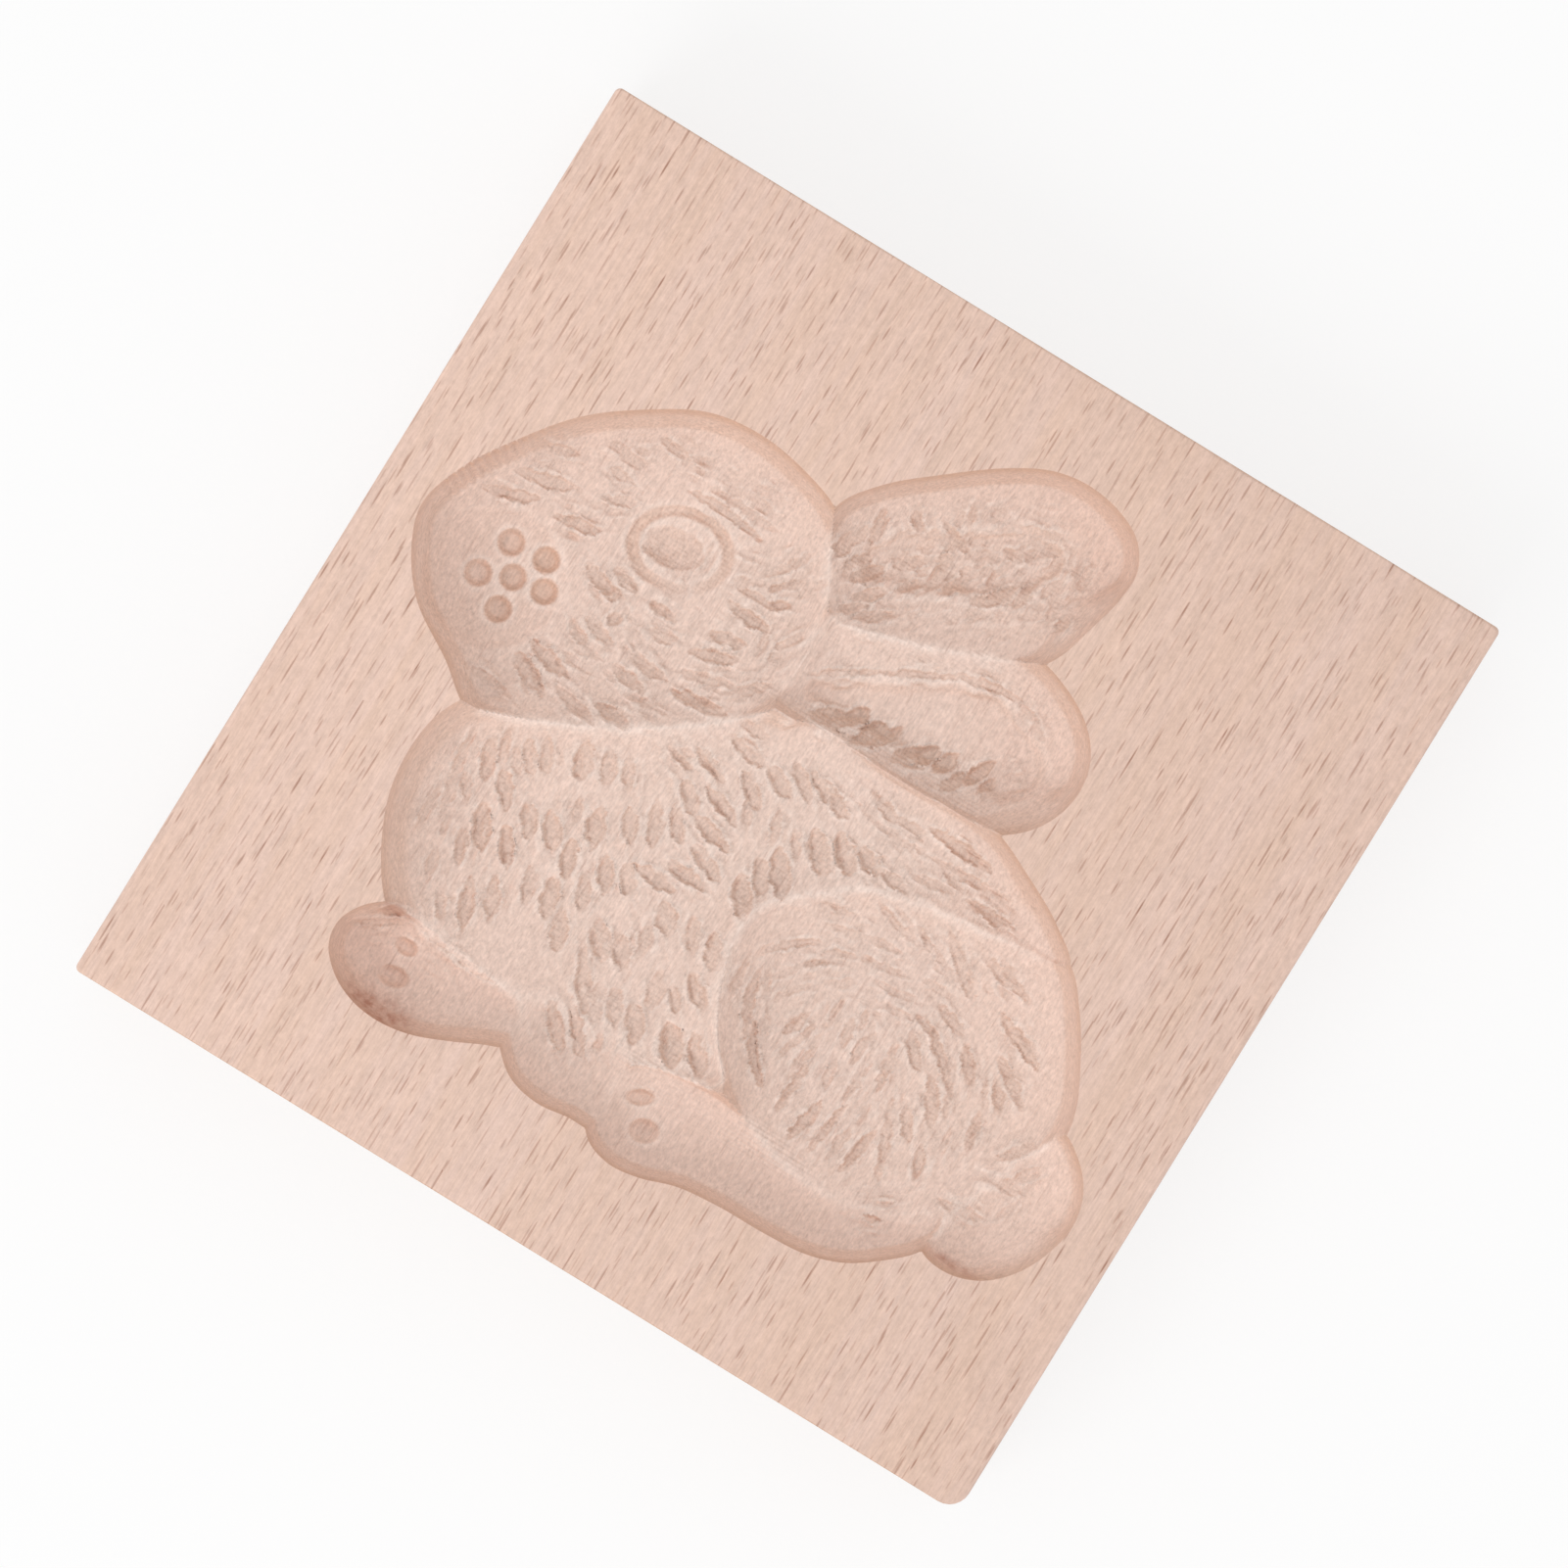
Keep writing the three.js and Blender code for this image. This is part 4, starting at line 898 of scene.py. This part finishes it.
def fill_face(points, inner, border):
    """The flat face between the hollow's rims and the block's border, as triangles that face up."""
    uses = Counter(tuple(sorted(pair)) for face in inner for pair in zip(face, face[1:] + face[:1]))
    rims = [edge for edge, count in uses.items() if count == 1]
    edges = rims + list(zip(border, border[1:] + border[:1]))
    bm = bmesh.new()
    made = {k: bm.verts.new(points[k] * MM) for k in dict.fromkeys(k for edge in edges for k in edge)}
    for a, b in edges:
        bm.edges.new((made[a], made[b]))
    index_of = {vert: k for k, vert in made.items()}
    bmesh.ops.triangle_fill(bm, edges=bm.edges[:], use_beauty=True, normal=(0, 0, 1))
    triangles = []
    for face in bm.faces:
        corners = [index_of[vert] for vert in face.verts]
        (ax, ay), (bx, by), (cx, cy) = (points[k][:2] for k in corners)
        facing_up = (bx - ax) * (cy - ay) - (by - ay) * (cx - ax) > 0
        triangles.append(corners if facing_up else corners[::-1])
    bm.free()
    return triangles


def paint_masks(mesh, carving, used, inner_faces):
    """Corner attributes for the material, some of which paint shade and highlights. They are 0 all over the
    planed faces.
    """
    x, y, depth, plain, step = carving.x, carving.y, carving.depth, carving.plain, carving.step
    detail = np.where(carving.side > 0, depth - plain, 0)
    slope, flank = (np.hypot(*np.gradient(form, step)[::-1]) for form in (plain, detail))
    # painted highlight: crests between cuts and ridges between lobes are painted paler
    highlight_mask = (blurred(detail, round(0.5 / step)) - detail) / CREST_HEIGHT
    ridge = (blurred(plain, round(0.7 / step)) - plain) / RIDGE_HEIGHT
    crumbled = 1 + 0.7 * carving.bumps(0.5, 13)
    ridge_highlight = crumbled * ridge * step_up(1.2, 2.4, carving.edge)
    milled = np.zeros(x.shape)
    for centre_x, centre_y, half_long, half_wide, turn in MILLED:
        along, across = turned(x, y, centre_x, centre_y, turn)
        away = (along / half_long) ** 2 + (across / half_wide) ** 2
        milled = np.maximum(milled, 1 - step_up(0.5, 1.2, away))
    # burn marks and painted shade on the walls of the paw and tail
    scorch_and_shade = sum(
        share * np.exp(-(((x - centre_x) / wide) ** 2) - ((y - centre_y) / high) ** 2)
        for centre_x, centre_y, wide, high, share in BURNS_AND_SHADE
    )
    masks = {
        "carved": step_up(0.2, 2.5, depth),
        # partly painted shade: steep walls and the rim get the end grain brown, less where a wall is soft
        "steep": np.where(carving.side == 0, 1, step_up(0.9, 1.7, slope)) * (1 - 0.7 * carving.soft),
        # painted shade on the sides of the cuts, with the colour of cut wood
        "flank": step_up(0.35, 1.3, flank),
        "highlight_mask": np.clip(np.maximum(highlight_mask, 0) + ridge_highlight, 0, 1),
        # painted shade in the cuts and dents, with the colour of cut wood
        "gouge_tint_and_shade": carving.cut,
        "furry": carving.furry,
        "milled": milled,
        "scorch_and_shade": np.clip(scorch_and_shade, 0, 1),
    }
    corners = read(mesh.loops, "vertex_index")
    inner_corners = read(mesh.polygons, "loop_start")[inner_faces]
    for name, values in masks.items():
        per_point = np.zeros(len(mesh.vertices))
        per_point[: len(used)] = values.ravel()[used]
        per_corner = np.where(np.arange(len(corners)) < inner_corners, per_point[corners], 0)
        layer = mesh.attributes.new(name, "FLOAT", "CORNER")
        layer.data.foreach_set("value", per_corner.astype(np.float32))


class NodeBench:
    """Puts shader nodes into an emptied tree and links them."""

    def __init__(self, owner):
        owner.use_nodes = True
        self.tree = owner.node_tree
        self.tree.nodes.clear()

    def put(self, kind, values=(), **settings):
        node = self.tree.nodes.new(kind)
        for name, value in settings.items():
            setattr(node, name, value)
        for name, value in dict(values).items():
            if isinstance(value, bpy.types.NodeSocket):
                self.tree.links.new(value, node.inputs[name])
            else:
                node.inputs[name].default_value = value
        return node

    def math(self, operation, a, b=0.0, clamp=False):
        return self.put("ShaderNodeMath", {0: a, 1: b}, operation=operation, use_clamp=clamp).outputs[0]

    def plus(self, a, b):
        return self.math("ADD", a, b)

    def minus(self, a, b):
        return self.math("SUBTRACT", a, b)

    def times(self, a, b):
        return self.math("MULTIPLY", a, b)

    def swing(self, value, strength):
        """A noise of 0 to 1 turned into one about 0."""
        return self.times(self.minus(value, 0.5), strength)

    def rest_of(self, mask, share):
        """What a share of a mask leaves of 1."""
        return self.minus(1, self.times(mask, share))

    def vector(self, operation, a, b=(0, 0, 0), output="Vector"):
        return self.put("ShaderNodeVectorMath", {0: a, 1: b}, operation=operation).outputs[output]

    def combine(self, *values):
        return self.put("ShaderNodeCombineXYZ", enumerate(values)).outputs[0]

    def split(self, vector):
        return self.put("ShaderNodeSeparateXYZ", {0: vector}).outputs

    def shrink(self, at, sizes, shift=0.0):
        """Coordinates in which one unit is as long as the sizes given, in millimetres."""
        scaled = self.vector("DIVIDE", at, sizes)
        return self.vector("ADD", scaled, (shift, shift, shift)) if shift else scaled

    def noise(self, at, sizes, shift=0.0, detail=2.0, roughness=0.5):
        values = {"Vector": self.shrink(at, sizes, shift), "Scale": 1.0}
        values.update(Detail=detail, Roughness=roughness)
        return self.put("ShaderNodeTexNoise", values).outputs["Fac"]

    def ramp(self, value, low, high, to_low=0.0, to_high=1.0):
        values = {"Value": value, "From Min": low, "From Max": high, "To Min": to_low, "To Max": to_high}
        return self.put("ShaderNodeMapRange", values, interpolation_type="SMOOTHSTEP").outputs["Result"]

    def mix(self, share, a, b, blend="MIX"):
        node = self.put("ShaderNodeMix", {0: share, 6: a, 7: b}, data_type="RGBA", blend_type=blend)
        return node.outputs[2]

    def mask(self, name):
        return self.put("ShaderNodeAttribute", attribute_name=name, attribute_type="GEOMETRY").outputs["Fac"]

    def flecks(self, at, cell, half, share, shift):
        """Pointed ray flecks of varied strength: one to a cell, along the grain and deep into the board."""
        cells = self.shrink(at, cell, shift)
        seed = self.put("ShaderNodeTexVoronoi", {"Vector": cells, "Scale": 1.0, "Randomness": 1.0})
        random = self.put("ShaderNodeSeparateColor", {0: seed.outputs["Color"]}).outputs
        off = self.vector("SUBTRACT", cells, seed.outputs["Position"])
        off = self.vector("MULTIPLY", off, tuple(c / h for c, h in zip(cell, half)))
        off = self.vector("MULTIPLY", off, self.combine(1.0, self.ramp(random[1], 0, 1, 1.7, 0.75), 1.0))
        spot = self.ramp(self.vector("LENGTH", off, output="Value"), 0.45, 1.05, 1, 0)
        there = self.math("LESS_THAN", random[0], share)
        return self.times(self.times(spot, there), self.ramp(random[2], 0, 1, 0.35, 1))


def rgba(rgb):
    return (*rgb, 1.0)


def beech_material(look):
    """Bare beech, the same through and through: ray flecks and growth rings run into the board, so they show
    as flecks on the face, as streaks on the sides and as rings on the ends. Its hollow also gets painted
    shade on its steep walls, in its cuts and on walls of the paw and tail, a painted highlight on crests and
    ridges, and painted light on its floors towards +X and -Y."""
    material = bpy.data.materials.new("beech")
    bench = NodeBench(material)
    put, mix, ramp, noise = bench.put, bench.mix, bench.ramp, bench.noise
    plus, minus, times, swing, rest_of = bench.plus, bench.minus, bench.times, bench.swing, bench.rest_of
    coordinates = put("ShaderNodeTexCoord").outputs
    at = bench.vector("MULTIPLY", coordinates["Object"], (1 / MM, 1 / MM, 1 / MM))
    names = ("carved", "steep", "gouge_tint_and_shade", "furry", "milled", "scorch_and_shade", "flank", "highlight_mask")
    carved, steep, gouge_tint_and_shade, furry, milled, scorch_and_shade, flank, highlight_mask = (bench.mask(name) for name in names)

    # the grain runs along Y and wanders a little
    grain = bench.vector("ADD", at, bench.combine(swing(noise(at, (18, 160, 18)), 1.6)))
    across = bench.split(grain)

    # growth rings round a pith that lies under the board
    side, up = minus(across[0], PITH_X), plus(across[2], PITH_UNDER)
    from_pith = bench.math("SQRT", plus(times(side, side), times(up, up)))
    uneven = times(noise(at, (16, 260, 16), 3), 1.6)
    year = bench.math("FRACT", plus(bench.math("DIVIDE", from_pith, RING_WIDTH), uneven))
    late = times(ramp(year, 0.45, 0.95), ramp(year, 0.95, 1, 1, 0))

    bands = ramp(noise(grain, (5, 220, 5), 9, 3), 0.36, 0.7)
    patches = ramp(noise(grain, (0.9, 9, 0.9), 12), 0.4, 0.6)
    fibre = noise(grain, (0.22, 8, 0.22), 5, 3, 0.6)
    mottle = noise(at, (0.45, 0.8, 0.45), 2, 3, 0.7)
    torn = noise(at, (0.26, 0.5, 0.4), 8, 2, 0.6)

    # wood cut across the grain is darker: the block's ends and the hollow's walls across the grain. The same
    # brown goes on every steep wall, partly as painted shade; the cuts and their sides get painted shade with
    # the colour of cut wood, and crests and ridges get a painted highlight
    normal = bench.split(coordinates["Normal"])
    end = times(ramp(bench.math("ABSOLUTE", normal[1]), 0.3, 0.95), rest_of(carved, 0.75))
    wood = rgba(look.face)
    for mask, share, over in (
        (bands, 0.3, look.tan), (late, 0.2, look.tan), (patches, 0.16, look.tan), (carved, 0.75, look.fresh),
        (end, 0.75, look.end_grain_and_wall_shade), (steep, 0.24, look.end_grain_and_wall_shade), (gouge_tint_and_shade, 0.35, look.gouge),
        (flank, 0.22, look.gouge), (highlight_mask, 0.8, look.ridge_highlight),
    ):
        wood = mix(times(mask, share), wood, rgba(over))

    # the board darkens towards +X and -Y, and painted light lifts the hollow's floors towards +X and -Y
    shade = plus(swing(fibre, 0.42), 0.99)
    shade = plus(plus(shade, swing(mottle, 0.42)), swing(torn, times(carved, 0.42)))
    shade = times(times(shade, ramp(across[0], -50, 50, 1, 0.945)), ramp(across[1], -50, 0, 0.975, 1))
    # painted light on the hollow's floors towards +X and towards -Y
    for painted_light in (ramp(across[0], 0, 42, 0, 0.05), ramp(across[1], -36, -10, 0.06, 0)):
        shade = plus(shade, times(carved, painted_light))
    wood = mix(1.0, wood, bench.combine(shade, shade, shade), "MULTIPLY")

    # flecks, fainter in the hollow and on the sides that face along X
    strong, faint = bench.flecks(grain, *STRONG_FLECKS), bench.flecks(grain, *FAINT_FLECKS)
    spots = bench.math("ADD", times(strong, 0.55), times(faint, 0.36), True)
    sideways = ramp(bench.math("ABSOLUTE", normal[0]), 0.5, 0.95)
    faded = times(times(rest_of(carved, 0.7), rest_of(sideways, 0.72)), rest_of(steep, 0.85))
    wood = mix(times(spots, faded), wood, rgba(look.fleck))
    # burn marks and painted shade on the walls of the paw and tail
    burnt = times(scorch_and_shade, ramp(noise(at, (0.8, 1.2, 2), 4, 3), 0.35, 0.75, 0.35, 1))
    wood = mix(burnt, wood, rgba(look.scorch_and_shade_colour))

    # relief too fine for the mesh, in millimetres
    fuzz = swing(noise(at, (0.4, 0.5, 0.5), 6, 4, 0.7), plus(times(furry, 0.13), times(carved, 0.07)))
    lines = bench.math("SINE", times(bench.split(at)[1], 2 * math.pi / CUTTER_PITCH))
    ridged = plus(times(milled, 0.022), ramp(gouge_tint_and_shade, 0, 0.2, 0, 0.012))
    height = plus(plus(minus(swing(fibre, 0.05), times(spots, 0.02)), fuzz), times(lines, ridged))
    bump = put("ShaderNodeBump", {"Strength": 1.0, "Distance": MM, "Height": height}).outputs["Normal"]
    rough = plus(times(carved, 0.14), ramp(fibre, 0, 1, look.roughness - 0.05, look.roughness + 0.07))
    values = {"Base Color": wood, "Roughness": rough, "Normal": bump, "Specular IOR Level": 0.35}
    put("ShaderNodeOutputMaterial", {"Surface": put("ShaderNodeBsdfPrincipled", values).outputs[0]})
    return material


def floor_material(look):
    """A plain pale floor that a camera sees nearly white, with the block's soft shadow still on it."""
    material = bpy.data.materials.new("floor")
    bench = NodeBench(material)
    plain = bench.put("ShaderNodeBsdfDiffuse", {"Color": rgba(look.floor_colour)})
    white = bench.put("ShaderNodeEmission", {"Color": (1, 1, 1, 1), "Strength": 1.0})
    path = bench.put("ShaderNodeLightPath").outputs
    seen = bench.math("MAXIMUM", path["Is Camera Ray"], path["Is Glossy Ray"])
    seen = bench.math("MAXIMUM", seen, path["Is Transmission Ray"])
    share = bench.times(seen, look.floor_glow)
    both = bench.put("ShaderNodeMixShader", {0: share, 1: plain.outputs[0], 2: white.outputs[0]})
    bench.put("ShaderNodeOutputMaterial", {"Surface": both.outputs[0]})
    return material


def place(name, data):
    thing = bpy.data.objects.new(name, data)
    bpy.context.scene.collection.objects.link(thing)
    return thing


class MOULD_OT_carve_block(bpy.types.Operator):
    """Carves the beech block and gives it its wood"""

    bl_idname = "mould.carve_block"
    bl_label = "Carve the block"

    def execute(self, context):
        scene = context.scene
        mesh = build_mould(scene.mould_sizes)
        if not mesh.polygons:
            raise RuntimeError("the block has no faces")
        mesh.materials.append(beech_material(scene.mould_beech))
        mould = place("mould", mesh)
        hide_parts(NODE)
        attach(mould, BODY)
        return {"FINISHED"}


class MOULD_OT_set_stage(bpy.types.Operator):
    """Sets the pale floor, the soft light and the camera"""

    bl_idname = "mould.set_stage"
    bl_label = "Set the stage"

    ROLL = math.radians(31.63)
    AIM = (-1.08 * MM, 1.09 * MM)
    PIXELS_PER_METRE = 10592
    FLOOR_RADIUS = 3.0
    SENSOR = 36.0
    LAMP_AT = (-0.21, -0.9, 0.93)

    def execute(self, context):
        scene = context.scene
        look = scene.mould_stage
        top = scene.mould_sizes.board_thickness
        floor_mesh = bpy.data.meshes.new("floor")
        bm = bmesh.new()
        bmesh.ops.create_circle(bm, cap_ends=True, radius=self.FLOOR_RADIUS, segments=96)
        bm.to_mesh(floor_mesh)
        bm.free()
        floor_mesh.materials.append(floor_material(look))
        place("floor", floor_mesh)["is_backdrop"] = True

        world = bpy.data.worlds.new("even light")
        scene.world = world
        bench = NodeBench(world)
        path = bench.put("ShaderNodeLightPath").outputs
        seen = bench.math("MAXIMUM", path["Is Camera Ray"], path["Is Transmission Ray"])
        strength = bench.plus(look.sky_strength, bench.times(seen, 1 - look.sky_strength))
        sky = bench.put("ShaderNodeBackground", {"Color": (1, 1, 1, 1), "Strength": strength})
        bench.put("ShaderNodeOutputWorld", {"Surface": sky.outputs[0]})

        lamp_data = bpy.data.lights.new("soft lamp", "AREA")
        lamp_data.energy, lamp_data.size = look.lamp_power, look.lamp_size
        lamp = place("soft lamp", lamp_data)
        lamp.location = self.LAMP_AT
        lamp.rotation_mode = "QUATERNION"
        lamp.rotation_quaternion = (Vector((0, 0, top)) - lamp.location).to_track_quat("-Z", "Y")

        camera_data = bpy.data.cameras.new("camera")
        camera_data.sensor_width = self.SENSOR
        camera_data.lens = self.SENSOR * self.PIXELS_PER_METRE * look.camera_height / IMAGE_SIDE
        camera = place("camera", camera_data)
        camera.location = (*self.AIM, top + look.camera_height)
        camera.rotation_euler = (0, 0, self.ROLL)
        scene.camera = camera
        scene.view_settings.view_transform = "Standard"
        return {"FINISHED"}


class MOULD_PT_panel(bpy.types.Panel):
    """Sizes, colours and steps of the cookie mould."""

    bl_idname = "MOULD_PT_panel"
    bl_label = "Cookie mould"
    bl_space_type = "VIEW_3D"
    bl_region_type = "UI"
    bl_category = "Cookie mould"

    def draw(self, context):
        layout = self.layout
        for group in (context.scene.mould_sizes, context.scene.mould_beech, context.scene.mould_stage):
            box = layout.box()
            for name in group.__annotations__:
                box.prop(group, name)
        for step in STEPS:
            layout.operator(step.bl_idname)


STEPS = (MOULD_OT_carve_block, MOULD_OT_set_stage)
GROUPS = {"mould_sizes": MouldSizes, "mould_beech": BeechLook, "mould_stage": StageLook}
CLASSES = (*GROUPS.values(), *STEPS, MOULD_PT_panel)


def register():
    for each in CLASSES:
        bpy.utils.register_class(each)
    for name, group in GROUPS.items():
        setattr(bpy.types.Scene, name, bpy.props.PointerProperty(type=group))


def unregister():
    for name in GROUPS:
        delattr(bpy.types.Scene, name)
    for each in reversed(CLASSES):
        bpy.utils.unregister_class(each)


def main():
    register()
    bpy.ops.mould.carve_block()
    bpy.ops.mould.set_stage()
    boxes = {"cad": CAD_BOX, "visual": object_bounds()}
    plain = {name: [[float(c) for c in corner] for corner in box] for name, box in boxes.items()}


if __name__ == "__main__":
    main()
